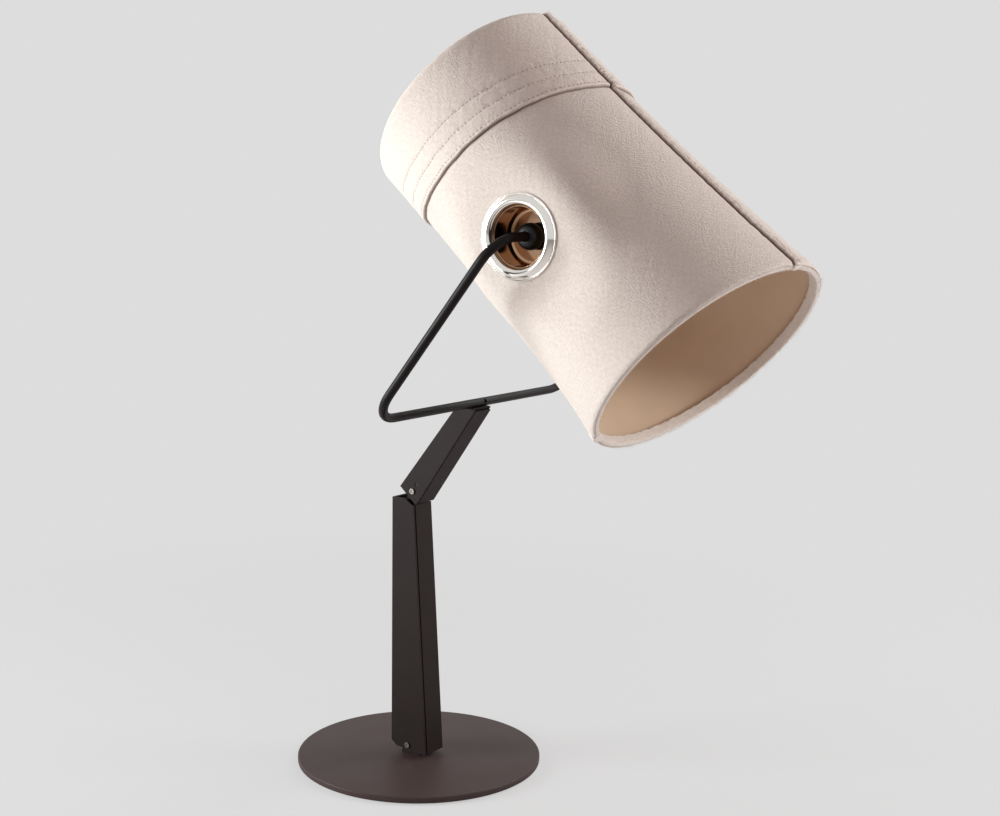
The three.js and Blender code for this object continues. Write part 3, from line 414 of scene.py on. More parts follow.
@dataclass(frozen=True)
class Cloth(Finish):
    """Woven cloth, read from the piece's own UV map in metres. Sewn cloth has a second one, "rows"."""

    shadow: Colour
    relief: float
    lumps: float
    depth: float = 0.35
    sewn: bool = False
    needle_holes: bool = False

    def build(self) -> bpy.types.Material:
        """Builds the weave's colour and relief, with painted shade in the weave's dips, and painted shadow in
        the creases and needle holes of sewn cloth.

        Returns:
            The material.
        """
        made, nodes, shader = start_material(self.name)
        spot = nodes.add("ShaderNodeUVMap", uv_map="cloth").outputs["UV"]
        woven = WEAVE.placed(nodes, Vector=spot, Lumps=self.lumps).outputs
        cloud_scale, cloud_depth, crease_shadow_depth, hole_shade_depth, hole_drop = 14.0, 0.05, 0.9, 0.7, 1.2
        cloud = nodes.spread(nodes.noise(spot, cloud_scale), 0.3, 0.7, 0.0, cloud_depth)
        # Painted shade of the weave: the cloth turns towards its shadow colour where its threads dip.
        dark = nodes.spread(woven["Tone"], 0.2, 0.9, self.depth, 0.0)
        tone = nodes.blend(nodes.maths("ADD", dark, cloud), self.colour, self.shadow)
        height = woven["Height"]
        if self.sewn:
            rows = nodes.add("ShaderNodeUVMap", uv_map="rows").outputs["UV"]
            crease_shadow = PAINTED_CREASE_SHADOWS.placed(nodes, Vector=rows).outputs["Mask"]
            # Painted shadow in the seam's groove and under the band's folded edge.
            tone = nodes.blend(nodes.maths("MULTIPLY", crease_shadow, crease_shadow_depth), tone, PAINTED_CREASE_SHADOW)
            if self.needle_holes:
                holes = NEEDLE_HOLES.placed(nodes, Vector=rows).outputs["Mask"]
                # Painted shade inside each needle hole; the holes also sink in relief below.
                tone = nodes.blend(nodes.maths("MULTIPLY", holes, hole_shade_depth), tone, PAINTED_HOLE_SHADE)
                height = nodes.maths("SUBTRACT", height, nodes.maths("MULTIPLY", holes, hole_drop))
        nodes.feed(shader, {"Base Color": tone, "Normal": nodes.bump(self.relief, 0.4, height),
                            "Roughness": 0.95, "Specular IOR Level": 0.15, "Sheen Weight": 0.25,
                            "Sheen Roughness": 0.6})
        return made


@dataclass(frozen=True)
class Grained(Finish):
    """A solid surface with a fine grain: a coat, a metal, a plastic or a rubber."""

    rough: float = 0.5
    metal: float = 0.0
    relief: float = 0.1
    fine: float = 1500.0
    coarse: float = 40.0
    gloss_spread: float = 0.08
    tint: float = 0.15
    shine: float = 0.5

    def build(self) -> bpy.types.Material:
        """Builds the grain's colour, gloss and relief.

        Returns:
            The material.
        """
        made, nodes, shader = start_material(self.name)
        worn = GRAIN.placed(nodes, Fine=self.fine, Coarse=self.coarse).outputs
        half = self.gloss_spread / 2
        nodes.feed(shader, {
            "Base Color": nodes.blend(worn["Patches"], darker(self.colour, self.tint), self.colour),
            "Roughness": nodes.spread(worn["Patches"], 0.0, 1.0, self.rough - half, self.rough + half),
            "Normal": nodes.bump(self.relief, 0.1, worn["Height"]),
            "Metallic": self.metal, "Specular IOR Level": self.shine})
        return made


@dataclass(frozen=True)
class Frosted(Finish):
    """Frosted bulb glass."""

    rough: float = 0.35
    gloss_spread: float = 0.1
    tint: float = 0.04

    def build(self) -> bpy.types.Material:
        """Builds the glass, a little clouded inside.

        Returns:
            The material.
        """
        made, nodes, shader = start_material(self.name)
        worn = GRAIN.placed(nodes, Fine=900.0, Coarse=30.0).outputs
        half = self.gloss_spread / 2
        nodes.feed(shader, {
            "Base Color": nodes.blend(worn["Patches"], darker(self.colour, self.tint), self.colour),
            "Roughness": nodes.spread(worn["Height"], 0.3, 0.7, self.rough - half, self.rough + half),
            "Transmission Weight": 0.35})
        return made


# Painted shade inside the needle holes.
PAINTED_HOLE_SHADE = linear(120, 100, 88)
# Painted shadow in the seam's groove and under the band's folded edge.
PAINTED_CREASE_SHADOW = linear(104, 66, 50)
CANVAS = Cloth("natural canvas", linear(246, 235, 225), shadow=linear(200, 182, 168), relief=0.9,
               lumps=1020.0, depth=0.4, sewn=True)
CANVAS_BAND = replace(CANVAS, name="stitched canvas", relief=0.75, needle_holes=True)
CANVAS_EDGE = Cloth("canvas fold", linear(248, 238, 229), shadow=linear(208, 191, 178), relief=0.8, lumps=620.0)
THREAD = Cloth("sewing thread", linear(248, 238, 228), shadow=linear(204, 187, 173), relief=0.9, lumps=1500.0)
LINING = Grained("cream lining", linear(218, 192, 165), rough=0.75, relief=0.12, fine=700.0, tint=0.06)
BLACK_COAT = Grained("black powder coat", linear(36, 27, 26), rough=0.5, relief=0.22, fine=2300.0, shine=0.1)
ROD_COAT = Grained("black rod enamel", linear(24, 18, 18), rough=0.42, relief=0.12, fine=2600.0, shine=0.14)
DISC_COAT = Grained("brown black disc coat", linear(63, 49, 47), rough=0.5, shine=0.25, relief=0.25,
                    fine=2100.0, coarse=18.0, tint=0.08)
ZINC = Grained("bright zinc", linear(122, 113, 109), rough=0.36, metal=1.0, relief=0.1, fine=1200.0)
NICKEL = Grained("polished nickel", linear(246, 242, 236), rough=0.11, metal=1.0, relief=0.01,
                 gloss_spread=0.04, tint=0.02)
BRONZE = Grained("polished bronze", linear(184, 148, 118), rough=0.1, metal=1.0, relief=0.015,
                 gloss_spread=0.04, tint=0.1)
KNOB_BLACK = Grained("black knob", linear(14, 12, 12), rough=0.42, relief=0.08, fine=1800.0, shine=0.25)
RUBBER = Grained("black rubber", linear(30, 28, 28), rough=0.8, relief=0.3, fine=1600.0)
FELT = Grained("black felt", linear(38, 35, 35), rough=0.95, relief=0.9, fine=900.0, tint=0.35)
HOLDER_WHITE = Grained("white holder plastic", linear(233, 230, 222), rough=0.3, relief=0.03, tint=0.03)
ALUMINIUM = Grained("bulb cap aluminium", linear(205, 205, 202), rough=0.3, metal=1.0, relief=0.08)
OPAL = Frosted("frosted bulb glass", linear(246, 243, 236))


def mesh_piece(name: str, points: Array, faces: Array,
               maps: dict[str, Array] | None = None) -> Piece:
    """A new object of a mesh given as whole arrays.

    Args:
        name: The piece's name.
        points: The vertices in millimetres, one row each.
        faces: The vertex numbers of the four-sided faces, one row each.
        maps: UV map name to the UV point of every face corner in metres.

    Returns:
        The object, linked into the scene.
    """
    mesh = bpy.data.meshes.new(name)
    mesh.vertices.add(len(points))
    mesh.vertices.foreach_set("co", (np.asarray(points, np.float32) * MM).ravel())
    mesh.loops.add(faces.size)
    mesh.loops.foreach_set("vertex_index", faces.astype(np.int32).ravel())
    mesh.polygons.add(len(faces))
    mesh.polygons.foreach_set("loop_start", np.arange(0, faces.size, faces.shape[1], dtype=np.int32))
    mesh.update(calc_edges=True)
    for label, corners in (maps or {}).items():
        mesh.uv_layers.new(name=label).data.foreach_set("uv", np.asarray(corners, np.float32).ravel())
    mesh.shade_smooth()
    return linked(name, mesh)


def grid_faces(rows: int, columns: int, loop_rows: bool = False, loop_columns: bool = False) -> Array:
    """The faces of a grid of points: each joins a point, the next in its row and the two after them.

    Args:
        rows: How many rows of points there are.
        columns: How many points a row has.
        loop_rows: The last row joins the first.
        loop_columns: The last point of a row joins its first.

    Returns:
        The faces' point numbers, four to a row.
    """
    row = np.arange(rows if loop_rows else rows - 1)[:, None]
    column = np.arange(columns if loop_columns else columns - 1)[None, :]
    up, right = (row + 1) % rows, (column + 1) % columns
    quads = [row * columns + column, row * columns + right, up * columns + right, up * columns + column]
    return np.stack([np.broadcast_to(q, np.broadcast_shapes(row.shape, column.shape)) for q in quads],
                    axis=-1).reshape(-1, 4)


def reworked(piece: Piece, change: Callable[[bmesh.types.BMesh], None] | None = None) -> Piece:
    """Changes a piece's mesh, turns its faces outward and shades it smooth.

    Args:
        piece: The mesh object.
        change: What is done to the mesh first.

    Returns:
        The same object.
    """
    edit = bmesh.new()
    edit.from_mesh(piece.data)
    if change:
        change(edit)
    bmesh.ops.recalc_face_normals(edit, faces=edit.faces)
    edit.to_mesh(piece.data)
    edit.free()
    piece.data.shade_smooth()
    return piece


def weld(edit: bmesh.types.BMesh, reach: float = 0.001 * MM) -> None:
    """Joins points that lie on each other, nearer than reach in metres."""
    bmesh.ops.remove_doubles(edit, verts=edit.verts, dist=reach)
    bmesh.ops.dissolve_degenerate(edit, edges=edit.edges, dist=reach)


def merge_flat(edit: bmesh.types.BMesh) -> None:
    """Joins a CAD node's loose triangles, and makes one face of those that lie in a plane."""
    bmesh.ops.remove_doubles(edit, verts=edit.verts, dist=0.002 * MM)
    bmesh.ops.dissolve_limit(edit, angle_limit=math.radians(1.0), verts=edit.verts, edges=edit.edges)


def fill_ends(edit: bmesh.types.BMesh) -> None:
    """Closes the open ends of tubes."""
    bmesh.ops.holes_fill(edit, edges=[e for e in edit.edges if e.is_boundary], sides=0)
    bmesh.ops.triangulate(edit, faces=[f for f in edit.faces if len(f.verts) > 4])


def rounded(profile: Sequence[tuple[float, float]], radius: float, steps: int = 5) -> Array:
    """A profile with each of its inner corners rounded by a curve between points before and after it.

    The curve is the quadratic one: (1-t)² start + 2t(1-t) corner + t² end.

    Args:
        profile: The profile's corners.
        radius: How far from the corner its curve starts, at most half of the shorter side.
        steps: How many parts the curve has.

    Returns:
        The profile's points, one to a row.
    """
    line = np.array(profile, float)
    points = [line[0][None, :]]
    share = np.linspace(0, 1, steps + 1)[:, None]
    for before, corner, after in zip(line[:-2], line[1:-1], line[2:]):
        back, on = before - corner, after - corner
        reach = min(radius, np.linalg.norm(back) / 2.02, np.linalg.norm(on) / 2.02)
        start = corner + back / np.linalg.norm(back) * reach
        end = corner + on / np.linalg.norm(on) * reach
        points.append((1 - share) ** 2 * start + 2 * share * (1 - share) * corner + share ** 2 * end)
    points.append(line[-1][None, :])
    return np.concatenate(points)


def turned(name: str, profile: Array, place: Placing, body: Body, finish: Finish,
           node: str, facets: int = 96, loop: bool = False, sharp: float = 0.0) -> None:
    """Makes and dresses a turned piece: each profile point is carried round a full circle.

    Args:
        name: The piece's name.
        profile: Pairs of radius and place along the axis, in millimetres.
        place: Turns arrays of two radial coordinates and one axial into points of the frame.
        body: The body that it rides on.
        finish: Its finish.
        node: The CAD node that it replaces.
        facets: How many parts the circle has.
        loop: The profile's end joins its start.
        sharp: Edges that turn more than this many degrees stay sharp, or 0 for none.
    """
    turn = np.linspace(0, 2 * math.pi, facets, endpoint=False)[None, :]
    radius, along = profile[:, 0][:, None], profile[:, 1][:, None]
    points = place(radius * np.cos(turn), radius * np.sin(turn), along + 0 * turn)
    made = mesh_piece(name, points.reshape(-1, 3), grid_faces(len(profile), facets, loop, True))
    reworked(made, weld)
    if sharp:
        made.data.set_sharp_from_angle(angle=math.radians(sharp))
    settle(made, body, finish, [node])


def tube(name: str, path: Array, radius: Array, sides: int = 32) -> Piece:
    """A round tube along a path in one plane or nearly: rings that stand square to the path.

    Args:
        name: The piece's name.
        path: The points of its middle line, in millimetres.
        radius: Its radius at each point.
        sides: How many sides a ring has.

    Returns:
        The object.
    """
    tangent = np.gradient(path, axis=0)
    tangent /= np.linalg.norm(tangent, axis=1)[:, None]
    first = path[len(path) // 3] - path[0]
    plane = np.cross(first, path[-1] - path[len(path) // 2])
    up = plane / np.linalg.norm(plane)
    side = np.cross(tangent, up)
    side /= np.linalg.norm(side, axis=1)[:, None]
    turn = np.linspace(0, 2 * math.pi, sides, endpoint=False)
    ring = side[:, None, :] * np.cos(turn)[None, :, None] + up[None, None, :] * np.sin(turn)[None, :, None]
    points = path[:, None, :] + ring * np.asarray(radius)[:, None, None]
    made = mesh_piece(name, points.reshape(-1, 3), grid_faces(len(path), sides, False, True))
    return reworked(made, weld)


def refit(node: str, name: str, body: Body, finish: Finish, edge: float,
          sharp: float = SHEET_TURN) -> None:
    """Replaces a CAD node by a dressed copy of it whose edges are broken.

    Args:
        node: The CAD node.
        name: The new piece's name.
        body: The body that it rides on.
        finish: Its finish.
        edge: The width of the broken edge, in millimetres.
        sharp: Edges that turn more than this many degrees are broken.
    """
    made = linked(name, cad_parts[node].data.copy())
    made.data.name = name
    reworked(made, merge_flat)
    bevel = made.modifiers.new("broken edges", "BEVEL")
    bevel.width = edge * MM
    bevel.segments = 3
    bevel.limit_method = "ANGLE"
    bevel.angle_limit = math.radians(sharp)
    bevel.miter_outer = "MITER_ARC"
    made.modifiers.new("even shading", "WEIGHTED_NORMAL").weight = 80
    settle(made, body, finish, [node])


def settle(piece: Piece, body: Body, finish: Finish,
           stands_for: Iterable[str] = ()) -> Piece:
    """Dresses a new piece, puts it on its body and reports it.

    Args:
        piece: The piece.
        body: The body that it rides on.
        finish: Its finish.
        stands_for: The CAD nodes that it replaces.

    Returns:
        The same piece.
    """
    piece.data.materials.clear()
    piece.data.materials.append(finish.material())
    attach(piece, body.value)
    nodes = list(stands_for)
    if nodes:
        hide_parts(*nodes)
    log.info("%s rides on %s", piece.name, body.value)
    return piece


def dress(node: str, finish: Finish) -> None:
    """Gives a CAD node that stays its finish.

    Args:
        node: The CAD node.
        finish: Its finish.
    """
    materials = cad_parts[node].data.materials
    materials.clear()
    materials.append(finish.material())
    log.info("%s stays as it is, in %s", node, finish.name)


def compact(name: str, points: Array, faces: Array, maps: dict[str, Array]) -> Piece:
    """A closed mesh of the points that its faces use, with its faces turned outward.

    Args:
        name: The piece's name.
        points: Points in millimetres, used or not.
        faces: The faces' point numbers, four to a row.
        maps: UV map name to the UV point of every face corner in metres.

    Returns:
        The object.
    """
    used, index = np.unique(faces, return_inverse=True)
    return reworked(mesh_piece(name, points[used], index.reshape(-1, 4), maps))


def layer(name: str, outer: Array, inner: Array, maps: dict[str, tuple[Array, Array]],
          kept: Array | None = None, closed: bool = False) -> Piece:
    """A thin closed layer between two grids of points that match, with walls along all its edges.

    A wall stands on each edge that only one face of the grid has.

    Args:
        name: The piece's name.
        outer: The outer points, rows by columns by three.
        inner: The inner points, of the same shape.
        maps: UV map name to its coordinates along each row and down each column, in metres.
        kept: Which faces of the grid stay, or None for all.
        closed: The last column joins the first, which the grids then hold twice.

    Returns:
        The object.
    """
    rows, columns = outer.shape[:2]
    count = rows * columns
    number = np.arange(count).reshape(rows, columns)
    if closed:
        number[:, -1] = number[:, 0]
    number = number.ravel()
    grid = grid_faces(rows, columns)
    if kept is not None:
        grid = grid[kept.ravel()]
    face = number[grid]
    after = np.roll(grid, -1, axis=1)
    start, end = face.ravel(), number[after].ravel()
    lone = ~np.isin(start * count + end, end * count + start)
    near, far = grid.ravel()[lone], after.ravel()[lone]
    walls = np.stack([number[far], number[near], number[near] + count, number[far] + count], axis=-1)
    faces = np.concatenate([face, face[:, ::-1] + count, walls])
    corners = np.concatenate([grid, grid[:, ::-1], np.stack([far, near, near, far], axis=-1)])
    points = np.concatenate([outer.reshape(-1, 3), inner.reshape(-1, 3)])
    flat = {label: np.stack(np.broadcast_arrays(*both), axis=-1).reshape(-1, 2) for label, both in maps.items()}
    return compact(name, points, faces, {label: uv[corners.ravel()] for label, uv in flat.items()})


def swept(name: str, points: Array, across: Array, along: Array, ring: bool = True) -> Piece:
    """A closed section carried round a ring, or along an open line with its ends filled.

    Args:
        name: The piece's name.
        points: The points, section by line by three. The first row stands again at the end, and on a ring
            the first column too.
        across: The cloth's own coordinate along the line, in metres.
        along: The one round the section.
        ring: The line is closed.

    Returns:
        The object.
    """
    rows, columns = points.shape[:2]
    number = np.arange(rows * columns).reshape(rows, columns)
    number[-1] = number[0]
    if ring:
        number[:, -1] = number[:, 0]
    grid = grid_faces(rows, columns)
    uv = np.broadcast_to(np.stack(np.broadcast_arrays(across, along), axis=-1), (rows, columns, 2))
    made = compact(name, points.reshape(-1, 3), number.ravel()[grid],
                   {"cloth": uv.reshape(-1, 2)[grid.ravel()]})
    return made if ring else reworked(made, fill_ends)


def strands(name: str, line: Array, girth: Array, side: Array, other: Array, turn: Array,
            caps: Array | None = None) -> Piece:
    """Many thin bars at once: a ring of points round each point of each middle line.

    Args:
        name: The piece's name.
        line: The middle lines, bar by point by three, in millimetres.
        girth: The half thickness at each point of a line.
        side: Each bar's own vector across it.
        other: The one across both.
        turn: The angles of a ring's points.
        caps: The faces at a bar's start, by their point numbers, or None for open ends.

    Returns:
        The bars, as one object.
    """
    count, steps = line.shape[:2]
    sides = len(turn)
    ring = (np.cos(turn)[None, None, :, None] * side[:, None, None, :]
            + np.sin(turn)[None, None, :, None] * other[:, None, None, :])
    points = (line[:, :, None, :] + ring * girth[None, :, None, None]).reshape(-1, 3)
    one = grid_faces(steps, sides, False, True)
    if caps is not None:
        one = np.concatenate([one, caps, caps[:, ::-1] + (steps - 1) * sides])
    faces = (one[None] + np.arange(count)[:, None, None] * steps * sides).reshape(-1, 4)
    made = mesh_piece(name, points, faces, {"cloth": points[faces.ravel()][:, :2] * MM})
    return reworked(made, fill_ends if caps is None else None)


def stitches(name: str, before: Array, middle: Array, after: Array, up: Array) -> Piece:
    """A row of small stitches, each a six-sided bead that dips into the cloth at both ends.

    Args:
        name: The piece's name.
        before: Where each stitch starts, in millimetres.
        middle: The middle of each.
        after: Where each ends.
        up: A direction that lies across the stitches, roughly.

    Returns:
        The stitches, as one object.
    """
    share = np.array([-1, -0.8, -0.4, 0, 0.4, 0.8, 1])[None, :, None]
    girth = np.array([0.35, 0.75, 1, 1.05, 1, 0.75, 0.35]) * THREAD_HALF
    dip = np.array([-0.75, -0.35, 0, 0.05, 0, -0.35, -0.75])[None, :, None] * THREAD_HALF
    wide, flat = 1.25, 0.8
    along = after - before
    normal = np.cross(along, up)
    normal /= np.linalg.norm(normal, axis=1)[:, None]
    outward = np.sign(np.einsum("ij,ij->i", normal, middle - middle.mean(axis=0)))[:, None]
    normal = normal * np.where(outward == 0, 1, outward)
    side = np.cross(normal, along)
    side /= np.linalg.norm(side, axis=1)[:, None]
    bend = (before + after) / 2 - middle
    line = middle[:, None, :] + share * along[:, None, :] / 2 + share ** 2 * bend[:, None, :]
    line = line + dip * normal[:, None, :]
    return strands(name, line, girth, side * wide, normal * flat, np.arange(6) * math.pi / 3,
                   np.array([[0, 3, 2, 1], [0, 5, 4, 3]]))


def fibres(name: str, root: Array, lean: Array, length: Array, draw: np.random.Generator) -> Piece:
    """Short curled fibres, each a three-sided tube of three parts.

    Args:
        name: The piece's name.
        root: Where each starts, in millimetres.
        lean: The way each runs.
        length: How long each is.
        draw: Where the curls are drawn from.

    Returns:
        The fibres, as one object.
    """
    way = lean / np.linalg.norm(lean, axis=1)[:, None] * length[:, None]
    curl = draw.normal(0, 0.35, (len(root), 3)) * length[:, None]
    share = np.linspace(0, 1, 4)[None, :, None]
    line = root[:, None, :] + share * way[:, None, :] + share ** 2 * curl[:, None, :]
    side = np.cross(way, curl)
    side /= np.linalg.norm(side, axis=1)[:, None]
    other = np.cross(way, side)
    other /= np.linalg.norm(other, axis=1)[:, None]
    girth = np.array([1.0, 0.9, 0.7, 0.3]) * FIBRE_HALF
    return strands(name, line, girth, side, other, np.arange(3) * 2 * math.pi / 3)


def upright(first: Array, second: Array, along: Array) -> Array:
    """Places a turned piece about the frame's Z axis."""
    return np.stack([first, second, along], axis=-1)


@dataclass
class Base:
    """The round base: a felt pad under a coated steel disc, and the bracket that the stem hinges on."""

    radius: float = 100.0
    pad_radius: float = 94.0
    pad_top: float = 1.0
    top: float = 6.0
    edge: float = 1.1
    pad_edge: float = 0.35
    bracket_edge: float = 0.5

    def build(self) -> None:
        """Builds the disc and the pad, breaks the bracket's edges and dresses its screws."""
        disc = rounded([(0, self.pad_top), (self.radius, self.pad_top), (self.radius, self.top),
                        (0, self.top)], self.edge, 6)
        turned("turned_disc", disc, upright, Body.BASE, DISC_COAT, "base_disc", 256, sharp=50)
        pad = rounded([(0, 0), (self.pad_radius, 0), (self.pad_radius, self.pad_top), (0, self.pad_top)],
                      self.pad_edge, 3)
        turned("felt_pad", pad, upright, Body.BASE, FELT, "base_pad", 192)
        refit("base_bracket", "hinge_bracket", Body.BASE, BLACK_COAT, self.bracket_edge)
        for node in ("base_bracket_screw_front", "base_bracket_screw_rear"):
            dress(node, ZINC)


@dataclass
class Joints:
    """The two clamped hinges: their bolts, nuts, washers and small screws, with broken edges."""

    fine_edge: float = 0.14
    coarse_edge: float = 0.3

    def build(self) -> None:
        """Builds both hinges, the screws near them and the gland."""
        for prefix, body in (("base", Body.STEM), ("elbow", Body.ARM)):
            for part in ("bolt", "nut"):
                refit(f"{prefix}_pivot_{part}", f"{prefix}_hinge_{part}", body, ZINC,
                      self.fine_edge, SMALL_TURN)
            for side in Side:
                dress(f"{prefix}_friction_washer_{side.label}", RUBBER)
        plan = (
            ("elbow_tongue_screw_lower", "tongue_screw_lower", Body.STEM, BLACK_COAT),
            ("elbow_tongue_screw_upper", "tongue_screw_upper", Body.STEM, BLACK_COAT),
            ("elbow_lock_screw", "lock_screw", Body.ARM, KNOB_BLACK),
            ("fork_screw", "bar_screw", Body.ARM, BLACK_COAT),
        )
        for node, name, body, finish in plan:
            refit(node, name, body, finish, self.fine_edge, SMALL_TURN)
        refit("cable_gland", "rubber_gland", Body.STEM, RUBBER, self.coarse_edge, SMALL_TURN)


@dataclass
class Limbs:
    """The folded steel stem and arm: side walls, covers, the elbow tongue and the bar's saddle."""

    wall_edge: float = 0.45
    cover_edge: float = 0.3

    def build(self) -> None:
        """Builds and dresses the stem's and the arm's steel pieces."""
        plan = (
            ("stem_channel", "stem_walls", Body.STEM, self.wall_edge),
            ("stem_cover", "stem_front", Body.STEM, self.cover_edge),
            ("elbow_tongue", "elbow_block", Body.STEM, self.wall_edge),
            ("arm_channel", "arm_walls", Body.ARM, self.wall_edge),
            ("arm_cover", "arm_front", Body.ARM, self.cover_edge),
            ("fork_saddle", "bar_saddle", Body.ARM, self.cover_edge),
        )
        for node, name, body, edge in plan:
            refit(node, name, body, BLACK_COAT, edge)


@dataclass
class Fork:
    """The fork, one bent steel rod, with its knobs and collars, in a frame at the middle of its bar."""

    bar_x: float = 53.773
    bar_z: float = 303.506
    lean: float = 38.4
    length: float = 172.3
    half_width: float = 130.5
    rod: float = 3.4
    bar_bend: float = 27.0
    pivot_bend: float = 21.0
    rod_end: float = 74.6
    screw_y: float = 7.0
    screw_lean: float = 16.0
    screw_hole: float = 1.8
    knob_radius: float = 9.5
    knob_height: float = 12.0
    knob_start: float = 84.8
    bore: float = 3.7
    collar_edge: float = 0.4
    arc_points: int = 15
    step: float = 6.0

    def to_frame(self, y: Array, up: Array, out: Array | float = 0.0) -> Array:
        """Points of the fork's own plane in the lamp's frame.

        Args:
            y: Places along Y.
            up: Places along the legs, from the bar.
            out: Places square to the fork's plane.

        Returns:
            The points.
        """
        lean = math.radians(self.lean)
        x = self.bar_x + up * math.sin(lean) + out * math.cos(lean)
        z = self.bar_z + up * math.cos(lean) - out * math.sin(lean)
        return np.stack(np.broadcast_arrays(x, y, z), axis=-1)

    def middle_line(self) -> Array:
        """The rod's middle line: straight runs joined by arcs of a circle at each bend.

        Returns:
            Pairs of Y and the place along the legs.
        """
        corners = np.array([(-self.rod_end, self.length), (-self.half_width, self.length),
                            (-self.half_width, 0), (self.half_width, 0), (self.half_width, self.length),
                            (self.rod_end, self.length)], float)
        radii = (self.pivot_bend, self.bar_bend, self.bar_bend, self.pivot_bend)
        parts = [corners[:1]]
        for before, corner, after, radius in zip(corners[:-2], corners[1:-1], corners[2:], radii):
            back = (before - corner) / np.linalg.norm(before - corner)
            on = (after - corner) / np.linalg.norm(after - corner)
            centre = corner + (back + on) * radius
            turn = np.linspace(0, math.pi / 2, self.arc_points)[:, None]
            parts.append(centre - on * radius * np.cos(turn) - back * radius * np.sin(turn))
        parts.append(corners[-1:])
        corners_and_arcs = np.concatenate(parts)
        legs = np.linalg.norm(np.diff(corners_and_arcs, axis=0), axis=1)
        steps = np.maximum(1, np.round(legs / self.step).astype(int))
        pieces = [np.linspace(a, b, n, endpoint=False)
                  for a, b, n in zip(corners_and_arcs[:-1], corners_and_arcs[1:], steps)]
        return np.concatenate([*pieces, corners[-1:]])

    def rod_piece(self) -> Piece:
        """The rod: a round section carried along the middle line, with domed ends.

        Returns:
            The rod.
        """
        line = self.middle_line()
        dome = self.rod * (1 - np.cos(np.linspace(0, math.pi / 2, 6)))
        ends = np.sqrt(np.maximum(0, 1 - ((self.rod - dome) / self.rod) ** 2)) * self.rod
        head = line[0] + np.outer(dome, np.sign(line[1] - line[0]))
        tail = line[-1] + np.outer(dome[::-1], np.sign(line[-2] - line[-1]))
        inner = line[(np.abs(line[:, 0]) > self.rod_end + self.rod) | (line[:, 1] < self.length - 1)]
        path = np.concatenate([head, inner, tail])
        radius = np.concatenate([ends, np.full(len(inner), self.rod), ends[::-1]])
        made = tube("bent_rod", self.to_frame(path[:, 0], path[:, 1]), radius)
        self.drill(made)
        return settle(made, Body.ARM, ROD_COAT, ["fork_rod"])

    def drill(self, rod: Piece) -> None:
        """Cuts the saddle screw's hole through the rod.

        Args:
            rod: The rod, whose mesh is changed.
        """
        lean = math.radians(self.screw_lean)
        way = Vector((math.cos(lean), 0.0, math.sin(lean)))
        seat = Matrix.Translation(Vector((self.bar_x, self.screw_y, self.bar_z)) * MM)
        edit = bmesh.new()
        bmesh.ops.create_cone(edit, cap_ends=True, segments=32, radius1=self.screw_hole * MM,
                              radius2=self.screw_hole * MM, depth=4 * self.rod * MM,
                              matrix=seat @ way.to_track_quat("Z", "Y").to_matrix().to_4x4())
        mesh = bpy.data.meshes.new("drill")
        edit.to_mesh(mesh)
        edit.free()
        cutter = linked("drill", mesh)
        cut = rod.modifiers.new("screw hole", "BOOLEAN")
        cut.object = cutter
        cut.solver = "EXACT"
        shaped = bpy.data.meshes.new_from_object(rod.evaluated_get(bpy.context.evaluated_depsgraph_get()))
        rod.modifiers.clear()
        rod.data = shaped
        shaped.name = rod.name
        shaped.set_sharp_from_angle(angle=math.radians(SMALL_TURN))
        bpy.data.objects.remove(cutter)
        bpy.data.meshes.remove(mesh)

    def about_pivot(self, side: Side) -> Placing:
        """Places turned pieces about one end of the rod, outward along Y."""
        return lambda first, second, along: self.to_frame(side.value * along, self.length + first, second)

    def build(self) -> None:
        """Builds and dresses the rod, its knobs and its collars."""
        self.rod_piece()
        low, high = self.knob_start, self.knob_start + self.knob_height
        wide = self.knob_radius
        profile = rounded([(self.bore, low), (wide * 0.8, low), (wide, low + 3.2), (wide, high - 4.6),
                           (wide * 0.82, high - 1.0), (wide * 0.45, high), (self.bore, high)], 2.4, 6)
        for side in Side:
            turned(f"rod_knob_{side.label}", profile, self.about_pivot(side), Body.ARM,
                   KNOB_BLACK, f"pivot_knob_{side.label}", 64, True)
            refit(f"pivot_collar_{side.label}", f"rod_collar_{side.label}", Body.ARM, ZINC,
                  self.collar_edge, SMALL_TURN)


